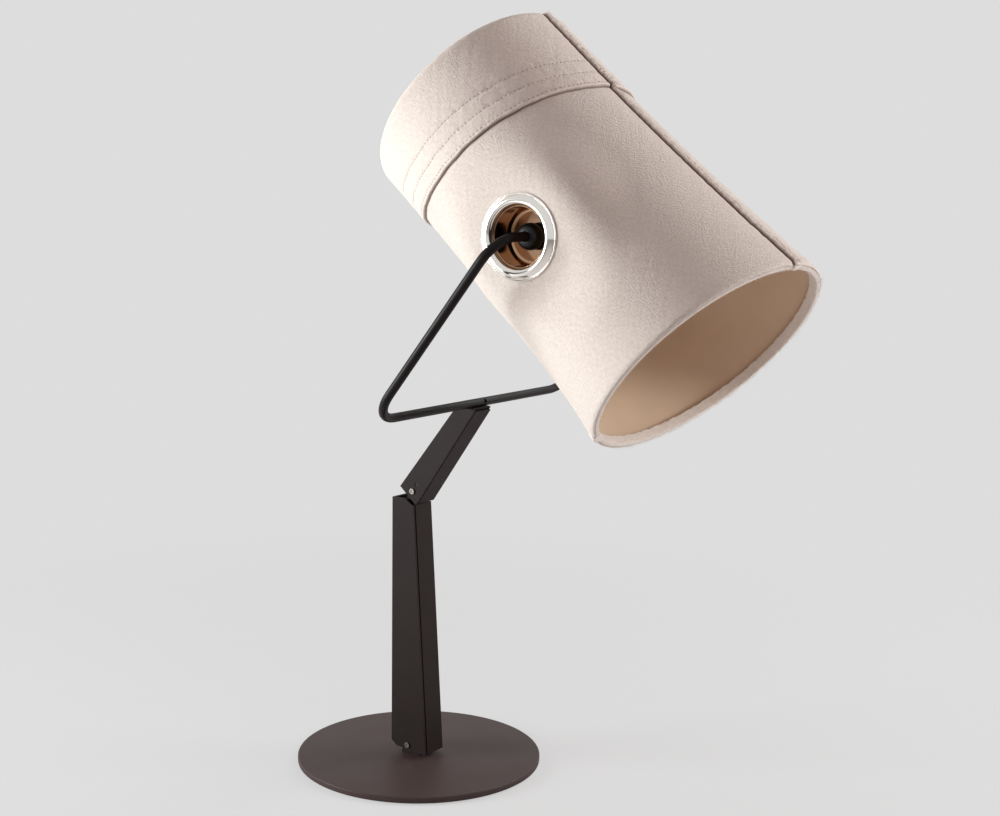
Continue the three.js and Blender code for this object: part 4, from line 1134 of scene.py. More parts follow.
@dataclass
class Drum:
    """The shade's shape: every layer is a surface over an angle and a station along its axis.

    The angle runs from the upper seam, the station from the pivot, positive towards the top. A half
    width along a station is the parabola through its sizes at the top, the pivot and the rim. The cloth
    is drawn flat about each eyelet and smoothly back into its own curve round it, and it bulges a little
    at one corner of the rim.
    """

    pivot: tuple[float, float, float] = (160.798, 0.0, 438.537)
    lean: float = 49.0
    top: float = 145.5
    rim: float = 128.0
    half_n: tuple[float, float, float] = (85.0, 85.5, 91.8)
    half_y: tuple[float, float, float] = (95.8, 107.5, 124.0)
    seat: float = 104.0
    flat: float = 32.0
    corner_angle: float = math.radians(-140)
    corner_rise: float = 1.6
    corner_turn: float = 0.55
    corner_reach: float = 24.0
    blend_n: float = 74.0
    blend_station: float = 92.0
    canvas: float = 1.5
    gap: float = 0.3
    lining: float = 1.0
    hem_height: float = 7.0
    hem_depth: float = 6.0

    def axes(self) -> tuple[Array, Array, Array]:
        """The shade's own axes: towards the upper seam, across the eyelets and towards the top."""
        lean = math.radians(self.lean)
        return (np.array([math.cos(lean), 0, math.sin(lean)]), np.array([0.0, 1.0, 0.0]),
                np.array([-math.sin(lean), 0, math.cos(lean)]))

    def to_frame(self, n: Array, y: Array, station: Array) -> Array:
        """Points given along the shade's own axes, in the lamp's frame.

        Args:
            n: Places towards the upper seam.
            y: Places across the eyelets.
            station: Places along the axis.

        Returns:
            The points.
        """
        seamward, across, upward = self.axes()
        n, y, station = np.broadcast_arrays(n, y, station)
        return (np.array(self.pivot) + n[..., None] * seamward + y[..., None] * across
                + station[..., None] * upward)

    def half(self, station: Array, sizes: tuple[float, float, float]) -> Array:
        """A half width at stations.

        Args:
            station: The stations.
            sizes: The half widths at the top, the pivot and the rim.

        Returns:
            The half widths.
        """
        top, waist, rim = sizes
        curve = (((top - waist) * self.rim + (rim - waist) * self.top)
                 / (self.top * self.rim * (self.top + self.rim)))
        slope = (top - waist) / self.top - curve * self.top
        return waist + slope * station + curve * station ** 2

    def point(self, angle: Array, station: Array, offset: Array) -> Array:
        """Points of the cloth.

        Args:
            angle: Angles from the upper seam, in radians.
            station: Stations.
            offset: How far out of the cloth's outer face the points lie.

        Returns:
            The points.
        """
        corner = (angle - self.corner_angle + math.pi) % (2 * math.pi) - math.pi
        away = (corner / self.corner_turn) ** 2 + ((station + self.rim) / self.corner_reach) ** 2
        offset = offset + self.corner_rise * np.exp(-away)
        n = (self.half(station, self.half_n) + offset) * np.cos(angle)
        y = (self.half(station, self.half_y) + offset) * np.sin(angle)
        away = np.hypot(n, station)
        reach = away / np.maximum(np.hypot(n / self.blend_n, station / self.blend_station), 1e-6)
        share = smoothstep((reach - away) / (reach - self.flat))
        level = np.sign(y) * (self.seat + offset)
        return self.to_frame(n, y + (level - y) * share, station)

    def around(self, station: float) -> float:
        """The length of the cloth's outline at a station.

        Args:
            station: The station.

        Returns:
            The length in millimetres.
        """
        turn = np.linspace(0, 2 * math.pi, 721)
        ring = self.point(turn, np.full_like(turn, station), np.zeros_like(turn))
        return float(np.linalg.norm(np.diff(ring, axis=0), axis=1).sum())

    def turn_length(self, station: float = 0.0) -> float:
        """The length of cloth to a radian of angle at a station, in millimetres."""
        return self.around(station) / (2 * math.pi)


@dataclass
class ShadeCloth:
    """The sewn shade: two canvas panels, two bands, stitch rows, seams, rolled hems and the lining."""

    drum: Drum
    low: float = -127.9
    high: float = 145.4
    curl: float = 4.0
    curl_depth: float = 2.0
    pitch: float = 1.75
    thinnest: float = 0.2
    hole: float = 25.0
    band_low: float = 64.1
    band_waves: tuple[float, ...] = (79.3, -15.1, 2.0, -2.1)
    band_over: float = 0.3
    band_thick: float = 1.6
    band_sewn: float = 34.0
    fold: float = 1.3
    plump: float = 0.3
    drawn_in: float = 0.4
    pucker: float = 0.16
    welt_width: float = 6.2
    welt_height: float = 1.5
    groove: float = 0.5
    groove_depth: float = 1.8
    groove_reach: float = 1.2
    swell: float = 0.12
    fine_swell: float = 0.04
    gathers: float = 0.12
    gathers_reach: float = 8.0
    edge_dip: float = 0.5
    seam_shifts: tuple[float, float, float] = (1.7, 2.5, 3.3)
    edge_fibres: int = 2600
    rim_fibres: int = 3400

    def columns(self, start: float) -> Array:
        """The angles of one panel's grid, closer together near its two seams.

        Args:
            start: The angle of the seam where the panel starts.

        Returns:
            The angles, in radians.
        """
        half = self.drum.around(0.0) / 2
        inset = 9.5
        edge = np.array([self.groove, 0.8, 1.2, 1.8, 2.5, 3.4, 4.5, 5.5, 6.3, 7.1, 8.0])
        middle = np.linspace(inset, half - inset, int((half - 2 * inset) / self.pitch))
        return start + np.concatenate([edge, middle, half - edge[::-1]]) / half * math.pi

    def sewn_uv(self, angle: Array, station: Array) -> tuple[Array, Array]:
        """How far points lie from the upper seam and above the band's edge, in metres."""
        return self.from_seam(angle)[0] * MM, (station - self.band_edge(angle)) * MM

    def from_seam(self, angle: Array) -> tuple[Array, Array]:
        """How far points lie from the two seams, along the cloth.

        Args:
            angle: The points' angles.

        Returns:
            The distance from the upper seam, positive on the far side, and the one from the lower seam.
        """
        reach = self.drum.turn_length()
        turn = np.angle(np.exp(1j * angle))
        return turn * reach, (math.pi - np.abs(turn)) * reach

    def welt(self, angle: Array, station: Array) -> Array:
        """The raised raw edge of the far panel along the upper seam.

        Args:
            angle: The points' angles.
            station: Their stations.

        Returns:
            The offsets in millimetres.
        """
        upper = self.from_seam(angle)[0]
        edge = self.welt_width + 0.5 * ripple(station, 9, 1.3, 6)
        rise = (self.welt_height + 0.25 * ripple(station, 9, 1.6, 7)) * smoothstep((upper - 0.3) / 1.1)
        return rise * smoothstep((edge + 0.7 - upper) / 1.3) * (upper > 0)

    def curled(self, station: Array, low: bool, high: bool) -> Array:
        """How far a layer's ends curl in: a quarter of an ellipse, curl long and curl_depth deep.

        Args:
            station: The points' stations.
            low: The layer curls at the rim.
            high: It curls at the top.

        Returns:
            The offsets, zero or less.
        """
        near_rim = np.clip((self.curl - self.drum.rim - station) / self.curl, 0, 1) * low
        near_top = np.clip((station - self.drum.top + self.curl) / self.curl, 0, 1) * high
        share = np.maximum(near_rim, near_top)
        return self.curl_depth * (np.sqrt(1 - share ** 2) - 1)

    def relief(self, angle: Array, station: Array) -> Array:
        """How far the canvas stands off its smooth shape.

        It is a slow swell, gathers that fade away from each seam, the cloth turned in at the seam, the raised
        raw edge of the far panel, and a shallow dip along the band's edge, where the stitches draw it in.

        Args:
            angle: The points' angles.
            station: Their stations.

        Returns:
            The offsets in millimetres.
        """
        upper, lower = self.from_seam(angle)
        swell = ripple(upper + 0.6 * station, 7, 0.09, 1) * ripple(station - 0.3 * upper, 7, 0.06, 2)
        fine = ripple(upper * 1.1 + station, 7, 0.45, 4) + ripple(upper - station, 7, 0.4, 5)
        seam = np.minimum(np.abs(upper), lower)
        gathers = self.gathers * ripple(station, 9, 0.75, 3) * np.exp(-(seam / self.gathers_reach) ** 2)
        turned_in = -self.groove_depth * np.exp(-(seam / self.groove_reach) ** 2)
        below = station - self.band_edge(angle)
        dip = -self.edge_dip * np.exp(-((below + 0.6) / 1.4) ** 2) * (below < 0)
        smooth = self.swell * swell + self.fine_swell * fine
        return smooth + gathers + turned_in + dip + self.welt(angle, station)

    def band_edge(self, angle: Array) -> Array:
        """The station of the band's edge: a sum of cosines, lowest at the upper seam and a little uneven."""
        edge = sum(wave * np.cos(times * angle) for times, wave in enumerate(self.band_waves))
        return edge + 0.25 * ripple(angle * 100, 7, 0.2, 11)

    def band_outer(self, angle: Array, station: Array) -> Array:
        """How far out the band's outer face lies: its fold is round, and the stitch rows draw it in.

        Args:
            angle: The points' angles.
            station: Their stations.

        Returns:
            The offsets.
        """
        rise = station - self.band_edge(angle)
        arc = self.from_seam(angle)[0]
        fold = np.sqrt(np.clip(1 - (1 - np.clip(rise / self.fold, 0, 1)) ** 2, 0, 1))
        plump = self.plump * np.exp(-((rise - 1.6) / 2.0) ** 2) * (1 + 0.2 * ripple(arc, 7, 0.8, 12))
        drawn = np.zeros_like(rise)
        each = 1 + 0.3 * np.cos(arc * 2 * math.pi / STITCH_PITCH)
        for row in STITCH_ROWS:
            near_row = rise - row
            drawn -= self.drawn_in * np.exp(-(near_row / 1.3) ** 2) * each
            drawn += self.pucker * ripple(arc + row * 7, 9, 1.1, 13) * np.exp(-(near_row / 6) ** 2)
        body = (self.band_thick + plump + drawn) * fold + self.curled(station, False, True)
        return self.band_over + body + self.relief(angle, station)

    def outermost(self, angle: Array, station: Array) -> Array:
        """How far out the cloth lies: the band's smooth face where it has a band, or else the panel's."""
        proud = np.where(station > self.band_edge(angle), self.band_thick + self.band_over, 0.0)
        return proud + self.relief(angle, station)

    def flat_uv(self, angle: Array, station: Array, middle: float) -> tuple[Array, Array]:
        """The cloth's own coordinates: the way along each row from the panel's middle, and the station.

        Args:
            angle: The grid's angles.
            station: Its stations.
            middle: The angle of the panel's middle.

        Returns:
            Both coordinates in metres.
        """
        place = self.drum.point(angle, station, np.zeros_like(station))
        steps = np.linalg.norm(np.diff(place, axis=1), axis=2)
        across = np.concatenate([np.zeros((len(steps), 1)), np.cumsum(steps, axis=1)], axis=1)
        centre = int(np.argmin(np.abs(angle[0] - middle)))
        return (across - across[:, centre:centre + 1]) * MM, station * MM

    def hole_grid(self, angle: Array, station: Array, offset: Array, radius: float) -> tuple[Array, Array]:
        """Points of a layer with a round hole under each eyelet.

        Points inside the hole's circle move out to it, and the faces that would close it are dropped.

        Args:
            angle: The grid's angles.
            station: Its stations.
            offset: Its offsets.
            radius: The hole's radius.

        Returns:
            The points, and which faces of the grid stay.
        """
        n = (self.drum.half(station, self.drum.half_n) + offset) * np.cos(angle)
        away = np.maximum(np.hypot(n, station), 1e-6)
        inside = away < radius
        point = self.drum.point(angle, station, offset)
        level = np.sign(np.sin(angle)) * (self.drum.seat + offset)
        moved = self.drum.to_frame(n / away * radius, level, station / away * radius)
        point = np.where(inside[..., None], moved, point)
        full = inside[:-1, :-1] & inside[1:, :-1] & inside[:-1, 1:] & inside[1:, 1:]
        return point, ~full

    def cloth_layer(self, name: str, side: Side, angle: Array, station: Array, faces: tuple[Array, Array],
                    kept: Array | None = None) -> Piece:
        """Makes one half's sheet of cloth from its outer and inner points, with both UV maps."""
        maps = {"cloth": self.flat_uv(angle, station, side.start + math.pi / 2),
                "rows": self.sewn_uv(angle, station)}
        return layer(name, *faces, maps, kept)

    def panel(self, side: Side) -> Piece:
        """One canvas panel with its eyelet hole.

        Args:
            side: The side that it is on.

        Returns:
            The panel.
        """
        drum = self.drum
        bend = self.curl - drum.rim - self.curl * np.sin(CURL_TURNS[::-1])
        end = drum.top - drum.hem_height - drum.gap
        straight = np.linspace(self.curl - drum.rim, end, int((end + drum.rim) / self.pitch))
        rows = np.concatenate([bend, straight])
        station, angle = np.meshgrid(rows, self.columns(side.start), indexing="ij")
        stand = self.relief(angle, station) + self.curled(station, True, False)
        back = np.minimum(np.maximum(stand, -0.1) - drum.canvas, stand - self.thinnest)
        outer, kept = self.hole_grid(angle, station, stand, self.hole)
        inner = self.hole_grid(angle, station, back, self.hole)[0]
        made = self.cloth_layer(f"canvas_{side.label}", side, angle, station, (outer, inner), kept)
        return settle(made, Body.SHADE, CANVAS, [f"canvas_panel_{side.label}"])

    def band(self, side: Side) -> Piece:
        """One half of the doubled band, with a round folded lower edge and drawn-in stitch rows.

        Args:
            side: The side that it is on.

        Returns:
            The band.
        """
        columns = self.columns(side.start)
        rise = np.concatenate([[0, 0.12, 0.35, 0.7, 1.2], np.arange(1.9, self.band_sewn, 0.75)])
        edge = self.band_edge(columns)[None, :]
        start_curl = self.drum.top - self.curl
        plain = int((start_curl - self.band_low - self.band_sewn) / self.pitch)
        share = np.linspace(0, 1, plain)[1:, None]
        upper = edge + rise[-1] + (start_curl - edge - rise[-1]) * share
        bend = start_curl + self.curl * np.sin(CURL_TURNS)
        station = np.concatenate([edge + rise[:, None], upper, bend[:, None] + 0 * edge])
        angle = np.broadcast_to(columns, station.shape)
        stand = self.band_outer(angle, station)
        outer = self.drum.point(angle, station, stand)
        inner = self.drum.point(angle, station, np.minimum(self.band_over, stand - self.thinnest))
        made = self.cloth_layer(f"band_{side.label}", side, angle, station, (outer, inner))
        return settle(made, Body.SHADE, CANVAS_BAND, [f"canvas_band_{side.label}"])

    def band_stitches(self, side: Side) -> Piece:
        """The stitch rows on one half of the band.

        Args:
            side: The side.

        Returns:
            The stitches, as one piece.
        """
        reach, inset, half, lift = self.drum.turn_length(), 4, 0.36 * STITCH_PITCH, 0.16
        first = math.ceil((side.start * reach + inset) / STITCH_PITCH)
        last = math.floor(((side.start + math.pi) * reach - inset) / STITCH_PITCH)
        middles = np.arange(first, last + 1) * STITCH_PITCH
        spots = []
        for row in STITCH_ROWS:
            for shift in (-half, 0.0, half):
                angle = (middles + shift) / reach
                station = self.band_edge(angle) + row
                spots.append(self.drum.point(angle, station, self.band_outer(angle, station) + lift))
        ends = (np.concatenate(spots[part::3]) for part in range(3))
        made = stitches(f"band_stitching_{side.label}", *ends, self.drum.axes()[2])
        return settle(made, Body.SHADE, THREAD)

    def seam_stitches(self, name: str, seam: float) -> Piece:
        """Short slanted stitches on the far panel, beside the groove between the two panels.

        Args:
            name: The piece's name.
            seam: The seam's angle.

        Returns:
            The stitches, as one piece.
        """
        inset, slant, lift = 5, 0.35, 0.12
        station = np.arange(self.low + inset, self.high - inset, STITCH_PITCH)
        spots = []
        for shift in self.seam_shifts:
            angle = np.full_like(station, seam + shift / self.drum.turn_length())
            moved = station + (shift - self.seam_shifts[1]) * slant
            spots.append(self.drum.point(angle, moved, self.outermost(angle, station) + lift))
        return settle(stitches(name, *spots, self.drum.axes()[2]), Body.SHADE, THREAD)

    def hem(self, name: str, edge: float, up: int, start: float, node: str) -> Piece:
        """The turned-in hem at one end of the shade: a soft lip, and a leg inside with a ragged edge.

        The seam's groove and the far panel's raised edge run over it: its section shrinks and grows there.

        Args:
            name: The piece's name.
            edge: The station of the shade's end.
            up: 1 where the shade lies above that end, -1 where it lies below.
            start: The offset where the lip starts, under the curled end of the outer cloth.
            node: The CAD node that it replaces.

        Returns:
            The hem.
        """
        drum = self.drum
        deep, end, lip = drum.hem_depth, drum.hem_height, 1.7
        outline = rounded([(start - 0.7, lip), (start, lip), (start, -0.5), (-deep - 0.1, -0.5),
                           (-deep - 0.1, end), (1.2 - deep, end), (1.2 - deep, lip), (start - 0.7, lip)],
                          1.5, 6)
        columns = np.concatenate([self.columns(-math.pi), self.columns(0.0)])
        turn = np.append(columns, columns[0] + 2 * math.pi)
        shape = (len(outline), len(turn))
        rows, rise = (np.broadcast_to(outline[:, i][:, None], shape) for i in (0, 1))
        angle = np.broadcast_to(turn, shape)
        upper = self.from_seam(angle)[0]
        waves, fine_waves = ((61, 0.3), (83, 2.0), (127, 4.1), (38, 5.0)), ((173, 1.3), (211, 3.0), (149, 0.7))
        wave = sum(np.sin(angle * k + phase) for k, phase in waves) / len(waves)
        fine = sum(np.sin(angle * k + phase + rise) for k, phase in fine_waves) / len(fine_waves)
        girth = 1 + 0.16 * self.welt(angle, edge + 0 * angle) - 0.3 * np.exp(-(upper / 1.0) ** 2)
        middle = (start - deep) / 2
        offset = middle + (rows - middle) * girth + 0.12 * wave + 0.1 * fine
        ragged = rise > end - 0.8
        lift = 1.6 + (rise - 1.6) * np.where(rise < 1.6, girth ** 1.6, 1.0)
        station = edge + up * (lift + 0.12 * fine * (rise < 1) + (0.8 * wave + 0.5 * fine) * ragged)
        length = np.concatenate([[0], np.cumsum(np.linalg.norm(np.diff(outline, axis=0), axis=1))])
        arc = angle * drum.turn_length(edge) * MM
        made = swept(name, drum.point(angle, station, offset), arc, length[:, None] * MM)
        return settle(made, Body.SHADE, CANVAS_EDGE, [node])

    def lining(self) -> None:
        """Builds the smooth lining inside the canvas, a little wavy, with a hole behind each eyelet."""
        drum, inset, hole = self.drum, 4.3, self.hole - 0.7
        rows = np.linspace(inset - drum.rim, drum.top - inset, 116)
        station, angle = np.meshgrid(rows, np.linspace(0, 2 * math.pi, 281), indexing="ij")
        wave = 0.12 * np.sin(angle * 7 + 0.03 * station) + 0.1 * np.sin(angle * 11 + 2)
        face = -drum.canvas - drum.gap
        outer, kept = self.hole_grid(angle, station, wave * 0 + face, hole)
        inner = self.hole_grid(angle, station, wave + face - drum.lining - 0.2, hole)[0]
        maps = {"cloth": (angle * drum.turn_length() * MM, station * MM)}
        made = layer("smooth_lining", outer, inner, maps, kept, True)
        settle(made, Body.SHADE, LINING, ["shade_liner"])

    def seam_block(self) -> Piece:
        """The small stitched block on the rim's lower left: a soft pillow over the hem.

        Its section is full at its middle and shrinks towards both ends, as the root of 1 - x⁴.

        Returns:
            The block.
        """
        drum, half = self.drum, 5.5
        around = np.linspace(-half, half, 33)
        outline = rounded([(-1.9, 6.5), (0.6, 6.5), (0.6, -0.9), (-6.6, -0.9), (-6.6, 7.4), (-5.4, 7.4),
                           (-5.4, 0.3), (-1.9, 0.3), (-1.9, 6.5)], 1.8, 5)
        swell = np.sqrt(np.clip(1 - (np.abs(around) / (half + 0.05)) ** 4, 0, 1))[None, :]
        centre, least = (-2.8, 1.2), (0.8, 0.86)
        offset, rise = (centre[i] + (outline[:, i][:, None] - centre[i]) * (least[i] + (1 - least[i]) * swell)
                        for i in (0, 1))
        angle = np.broadcast_to(drum.corner_angle + around / drum.turn_length(-drum.rim), offset.shape)
        rough = 0.12 * ripple(around[None, :] + 3 * rise, 7, 1.4, 21)
        points = drum.point(angle, -drum.rim + rise, offset + rough)
        length = np.linspace(0, 40, len(outline))[:, None] * MM
        made = swept("seam_block", points, around * MM, length, False)
        return settle(made, Body.SHADE, CANVAS_EDGE)

    def fuzz(self) -> Piece:
        """Loose fibres along the far panel's raw edge and round the lower hem.

        Returns:
            The fibres, as one piece.
        """
        many, more = self.edge_fibres, self.rim_fibres
        draw = np.random.default_rng(31)
        station = draw.uniform(self.low, self.high, many)
        angle = (self.welt_width + draw.normal(-0.8, 1.6, many)) / self.drum.turn_length()
        edge = self.drum.point(angle, station, self.outermost(angle, station) - 0.2)
        round_rim = draw.uniform(0, 2 * math.pi, more)
        depth = draw.uniform(-6.0, -1.2, more)
        rim = self.drum.point(round_rim, np.full(more, 0.2 - self.drum.rim), depth)
        seamward, _, upward = self.drum.axes()
        lean = np.concatenate([seamward + draw.normal(0, 0.6, (many, 3)),
                               draw.normal(0, 0.7, (more, 3)) - upward])
        length = draw.uniform(0.8, 2.3, many + more)
        made = fibres("loose_fibres", np.concatenate([edge, rim]), lean, length, draw)
        return settle(made, Body.SHADE, THREAD)

    def declare(self, low: float) -> None:
        """Works out half the cloth's girth at a low station, in metres, and does nothing more with it."""
        width = self.drum.around(low) / 2 * MM

    def build(self) -> None:
        """Builds every sewn piece and dresses the wire rings."""
        panels = {side: self.panel(side) for side in Side}
        bands = {side: self.band(side) for side in Side}
        rows = {side: self.band_stitches(side) for side in Side}
        upper_seam = self.seam_stitches("upper_seam_stitching", 0.0)
        lower_seam = self.seam_stitches("lower_seam_stitching", math.pi)
        rim = self.hem("rim_hem", -self.drum.rim, 1, -2.3, "bottom_hem")
        crown = self.hem("crown_hem", self.drum.top, -1, -0.4, "top_hem")
        block = self.seam_block()
        fuzz = self.fuzz()
        self.lining()
        self.declare(self.low)
        self.declare(self.low)
        self.declare(self.band_low)
        self.declare(self.band_low)
        for node in ("bottom_wire_ring", "top_wire_ring"):
            dress(node, ZINC)


@dataclass
class Eyelets:
    """The metal eyelets in the shade's sides and the bronze cups behind them."""

    drum: Drum
    outer: float = 30.5
    hole: float = 21.8
    neck: float = 1.2
    height: float = 4.0
    back_low: float = 99.7
    back_high: float = 100.9
    back_radius: float = 26.4
    cup_radius: float = 21.5
    cup_wall: float = 1.0
    cup_floor: float = 84.5
    bore: float = 3.7

    def about(self, side: Side) -> Placing:
        """Places turned pieces about the shade's pivot, outward along Y."""
        return lambda first, second, along: self.drum.to_frame(first, side.value * along, second)

    def build(self) -> None:
        """Builds both eyelets, their back rings and both cups."""
        seat = self.drum.seat + self.drum.gap
        sleeve = self.hole + self.neck
        crest, outer = seat + self.height, self.outer
        front = rounded([(self.hole, self.back_low), (self.hole, seat + 2.2), (self.hole + 2.0, crest),
                         (self.hole + 4.6, crest), (outer - 1.7, seat + 0.7), (outer - 1.25, seat + 0.75),
                         (outer - 0.6, seat + 1.3), (outer, seat + 0.5), (outer, seat), (sleeve, seat),
                         (sleeve, self.back_low)], 2.4, 8)
        back = rounded([(sleeve + self.drum.gap, self.back_low), (self.back_radius, self.back_low),
                        (self.back_radius, self.back_high), (sleeve + self.drum.gap, self.back_high)], 0.5, 4)
        wide, floor, wall = self.cup_radius, self.cup_floor, self.cup_wall
        cup = rounded([(self.bore, floor - wall), (wide, floor - wall), (wide, self.drum.seat),
                       (wide - wall, self.drum.seat), (wide - wall, floor), (self.bore, floor)], 3.6, 8)
        plan = (("eyelet_ring", front, "eyelet_chrome", NICKEL, "eyelet_front", 30),
                ("eyelet_washer", back, "eyelet_chrome", NICKEL, "eyelet_back", 30),
                ("bronze_cup", cup, "cup_bronze", BRONZE, "pivot_cup", 50))
        for side in Side:
            for name, profile, slot, finish, node, sharp in plan:
                turned(f"{name}_{side.label}", profile, self.about(side), Body.SHADE, finish,
                       f"{node}_{side.label}", 128, True, sharp)


@dataclass
class Lampholder:
    """The lamp carrier, the lampholder and the bulb, turned about the shade's own axis."""

    drum: Drum
    top: float = 35.7
    length: float = 34.0
    radius: float = 17.0
    ring_radius: float = 20.0
    ring_height: float = 7.0
    shoulder: float = 12.0
    shoulder_radius: float = 11.5
    bore: float = 5.3
    cap_radius: float = 13.0
    cap_length: float = 24.0
    cap_wall: float = 0.4
    bulb_radius: float = 30.0
    bulb_length: float = 82.0
    sink: float = 2.0
    neck: float = 12.3
    neck_turn: float = 0.72
    strip_edge: float = 0.4
    nut_edge: float = 0.3

    def place(self, first: Array, second: Array, along: Array) -> Array:
        """Places a turned piece about the shade's axis, from radial coordinates and the station."""
        return self.drum.to_frame(first, second, along)

    def shell_profile(self) -> Array:
        """The holder's bell, with three shallow grooves round its skirt.

        Returns:
            The profile.
        """
        mouth = self.top - self.length
        wall = self.radius - self.cap_radius - self.drum.gap
        grooves = [(self.radius - dip, mouth + 9 + step) for start in (0, 3, 6)
                   for dip, step in ((0, start), (0.5, start + 0.5), (0, start + 1.0))]
        return rounded([(self.bore, self.top), (self.shoulder_radius, self.top),
                        (self.radius, self.top - self.shoulder), *grooves[::-1], (self.radius, mouth),
                        (self.radius - wall, mouth), (self.radius - wall, self.top - self.shoulder),
                        (self.shoulder_radius - wall, self.top - wall), (self.bore, self.top - wall)], 0.9, 3)

    def cap_profile(self) -> Array:
        """The bulb's screw cap: a thread of round ridges, then a taper to the contact.

        Returns:
            The profile.
        """
        low = self.top - self.length - self.sink
        high = low + self.cap_length
        ridge = np.linspace(low + 2, high - 7, 60)
        wave = self.cap_radius - 0.35 + 0.35 * np.cos((ridge - low) * 2 * math.pi / 3.6)
        inner = self.cap_radius - self.cap_wall - 0.75
        head = [(0, high), (4.5, high), (self.cap_radius - 6, high - 1.2), (self.cap_radius - 0.4, high - 6)]
        tail = [(self.cap_radius, low), (inner, low), (inner, low + 2.3), (0, low + 2.3)]
        return np.array([*head, *zip(wave[::-1], ridge[::-1]), *tail], float)

    def glass_profile(self) -> Array:
        """The bulb's glass: a ball that runs into its neck in a smooth curve.

        The curve is the cubic one with its end pulls along the neck and along the ball.

        Returns:
            The profile.
        """
        seat = self.top - self.length
        middle = seat - self.bulb_length + self.bulb_radius
        turn = np.linspace(self.neck_turn, math.pi, 40)
        ball = np.stack([self.bulb_radius * np.sin(turn), middle + self.bulb_radius * np.cos(turn)], axis=-1)
        share = np.linspace(0, 1, 16)[:-1, None]
        throat = self.neck - 0.8
        start, end = np.array([throat, seat - 4.0]), ball[0]
        pull = np.array([throat, seat - 18.0])
        into = end - np.array([math.cos(self.neck_turn), -math.sin(self.neck_turn)]) * 9
        curve = ((1 - share) ** 3 * start + 3 * share * (1 - share) ** 2 * pull
                 + 3 * share ** 2 * (1 - share) * into + share ** 3 * end)
        return np.concatenate([np.array([(0, seat), (throat, seat)]), curve, ball])

    def build(self) -> None:
        """Builds the carrier, the holder and the bulb."""
        mouth = self.top - self.length
        inner = self.radius + self.drum.gap
        ring = rounded([(inner, mouth), (self.ring_radius, mouth), (self.ring_radius, mouth + self.ring_height),
                        (inner, mouth + self.ring_height)], 1.0, 4)
        plan = (
            ("holder_bell", self.shell_profile(), "holder_plastic", HOLDER_WHITE, "lampholder_shell", True, 40),
            ("holder_collar", ring, "holder_plastic", HOLDER_WHITE, "lampholder_ring", True, 40),
            ("screw_cap", self.cap_profile(), "cap_aluminium", ALUMINIUM, "bulb_cap", False, 50),
            ("bulb_ball", self.glass_profile(), "bulb_glass", OPAL, "bulb_glass", False, 0),
        )
        for name, profile, slot, finish, node, loop, sharp in plan:
            turned(name, profile, self.place, Body.SHADE, finish, node, loop=loop, sharp=sharp)
        refit("lamp_carrier", "carrier_strip", Body.SHADE, ZINC, self.strip_edge)
        refit("lampholder_nut", "holder_nut", Body.SHADE, ZINC, self.nut_edge)
        dress("lampholder_nipple", ZINC)


@dataclass(frozen=True)
class Floor(Finish):
    """A plain pale floor that keeps the object's shadow and runs into the backdrop's even colour."""

    near: float = 0.15
    reach: float = 0.9
    near_share: float = 0.72
    tint: float = 0.02

    def build(self) -> bpy.types.Material:
        """Builds the floor: matt, with the backdrop's colour mixed in for the camera alone.

        Returns:
            The material.
        """
        made, nodes, shader = start_material(self.name)
        spot = nodes.add("ShaderNodeTexCoord").outputs["Object"]
        away = nodes.add("ShaderNodeVectorMath", {0: spot}, operation="LENGTH").outputs["Value"]
        share = nodes.spread(away, self.near, self.reach, self.near_share, 1.0)
        camera = nodes.add("ShaderNodeLightPath").outputs["Is Camera Ray"]
        glow = nodes.add("ShaderNodeEmission", {"Color": (*self.colour, 1.0)})
        patches = nodes.spread(nodes.noise(spot, 60.0), 0.3, 0.7)
        nodes.feed(shader, {
            "Base Color": nodes.blend(patches, self.colour, darker(self.colour, self.tint)),
            "Roughness": 0.9, "Specular IOR Level": 0.2})
        mixed = nodes.add("ShaderNodeMixShader", {
            0: nodes.maths("MULTIPLY", share, camera), 1: shader.outputs["BSDF"], 2: glow.outputs["Emission"]})
        nodes.feed(nodes.tree.get_output_node("ALL"), {"Surface": mixed.outputs["Shader"]})
        return made


@dataclass(frozen=True)
class Softbox:
    """An area light that faces a point on the lamp."""

    name: str
    place: tuple[float, float, float]
    size: tuple[float, float]
    power: float
    colour: Colour = (1.0, 1.0, 1.0)
    target: tuple[float, float, float] = (120.0, 0.0, 350.0)

    def build(self) -> None:
        """Adds the light."""
        data = bpy.data.lights.new(self.name, "AREA")
        data.shape = "RECTANGLE"
        data.size, data.size_y = (side * MM for side in self.size)
        data.energy = self.power
        data.color = self.colour
        made = linked(self.name, data)
        made.location = Vector(self.place) * MM
        aim = (Vector(self.target) - Vector(self.place)).normalized()
        made.rotation_euler = aim.to_track_quat("-Z", "Y").to_euler()


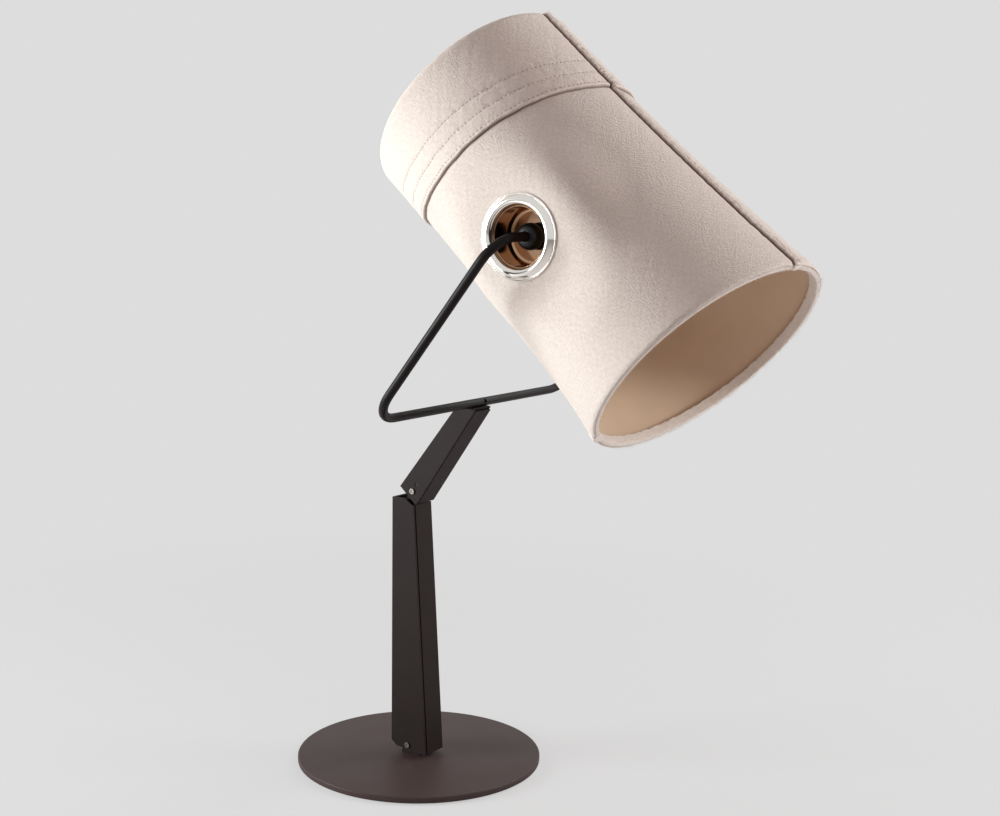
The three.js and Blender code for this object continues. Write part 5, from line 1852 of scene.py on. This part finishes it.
@dataclass
class Studio:
    """The floor, the even pale backdrop, the three soft lights and the camera."""

    backdrop: Colour = linear(221, 221, 221)
    ambient: Colour = (0.49, 0.415, 0.405)
    azimuth: float = 0.60412
    pitch: float = 0.14427
    roll: float = 0.01694
    eye: tuple[float, float, float] = (757.162, -987.279, 475.669)
    lens: float = 56.16
    sensor: float = 36.0
    clip: tuple[float, float] = (0.05, 60.0)
    floor_side: float = 12000.0
    floor_level: float = -0.1
    lights: tuple[Softbox, ...] = (
        Softbox("left softbox", (-998.7, -993.7, 454.6), (600.0, 600.0), 25.5, (0.94, 0.985, 1.0)),
        Softbox("back right softbox", (531.8, 1108.0, 1273.5), (600.0, 600.0), 7.0, (0.96, 0.98, 1.0)),
        Softbox("low right softbox", (1266.4, 915.6, 661.9), (600.0, 600.0), 12.5, (1.0, 0.99, 0.98)),
    )

    def camera(self) -> None:
        """Adds the camera at the photo's place, turned by azimuth, pitch and roll."""
        seat = Matrix.Translation(Vector(self.eye) * MM)
        turn = (Matrix.Rotation(self.azimuth, 4, "Z") @ Matrix.Rotation(math.pi / 2 - self.pitch, 4, "X")
                @ Matrix.Rotation(self.roll, 4, "Z"))
        data = bpy.data.cameras.new("camera")
        data.lens = self.lens
        data.sensor_width = self.sensor
        data.sensor_fit = "HORIZONTAL"
        data.clip_start, data.clip_end = self.clip
        made = linked("camera", data)
        made.matrix_world = seat @ turn
        bpy.context.scene.camera = made

    def world(self) -> None:
        """Shows the even backdrop to the camera, mirrors and glass, and lights the rest at a lower level."""
        world = bpy.data.worlds.new("studio")
        world.use_nodes = True
        nodes = Nodes(world.node_tree)
        path = nodes.add("ShaderNodeLightPath").outputs
        seen = nodes.maths("MAXIMUM", path["Is Camera Ray"], path["Is Transmission Ray"])
        seen = nodes.maths("MAXIMUM", seen, path["Is Glossy Ray"])
        dim = tuple(share * tone for share, tone in zip(self.ambient, self.backdrop))
        sky = nodes.add("ShaderNodeBackground", {"Color": nodes.blend(seen, dim, self.backdrop)})
        nodes.add("ShaderNodeOutputWorld", {"Surface": sky.outputs["Background"]})
        bpy.context.scene.world = world

    def build(self) -> None:
        """Builds the studio."""
        half = self.floor_side / 2
        signs = ((-1, -1), (1, -1), (1, 1), (-1, 1))
        corners = np.array([(x * half, y * half, self.floor_level) for x, y in signs])
        floor = mesh_piece("floor", corners, np.array([[0, 1, 2, 3]]))
        floor.data.materials.append(Floor("pale floor", self.backdrop).material())
        for light in self.lights:
            light.build()
        self.world()
        self.camera()
        bpy.context.scene.view_settings.view_transform = "Standard"
        log.info("studio with %d lights", len(self.lights))


def main() -> None:
    """Builds the lamp's looks and the studio."""
    logging.basicConfig(level=logging.INFO, format="%(name)s: %(message)s")
    drum = Drum()
    lamp = (Base(), Joints(), Limbs(), Fork(), ShadeCloth(drum), Eyelets(drum), Lampholder(drum))
    for assembly in (*lamp, Studio()):
        log.info("building %s", type(assembly).__name__)
        assembly.build()


if __name__ == "__main__":
    main()
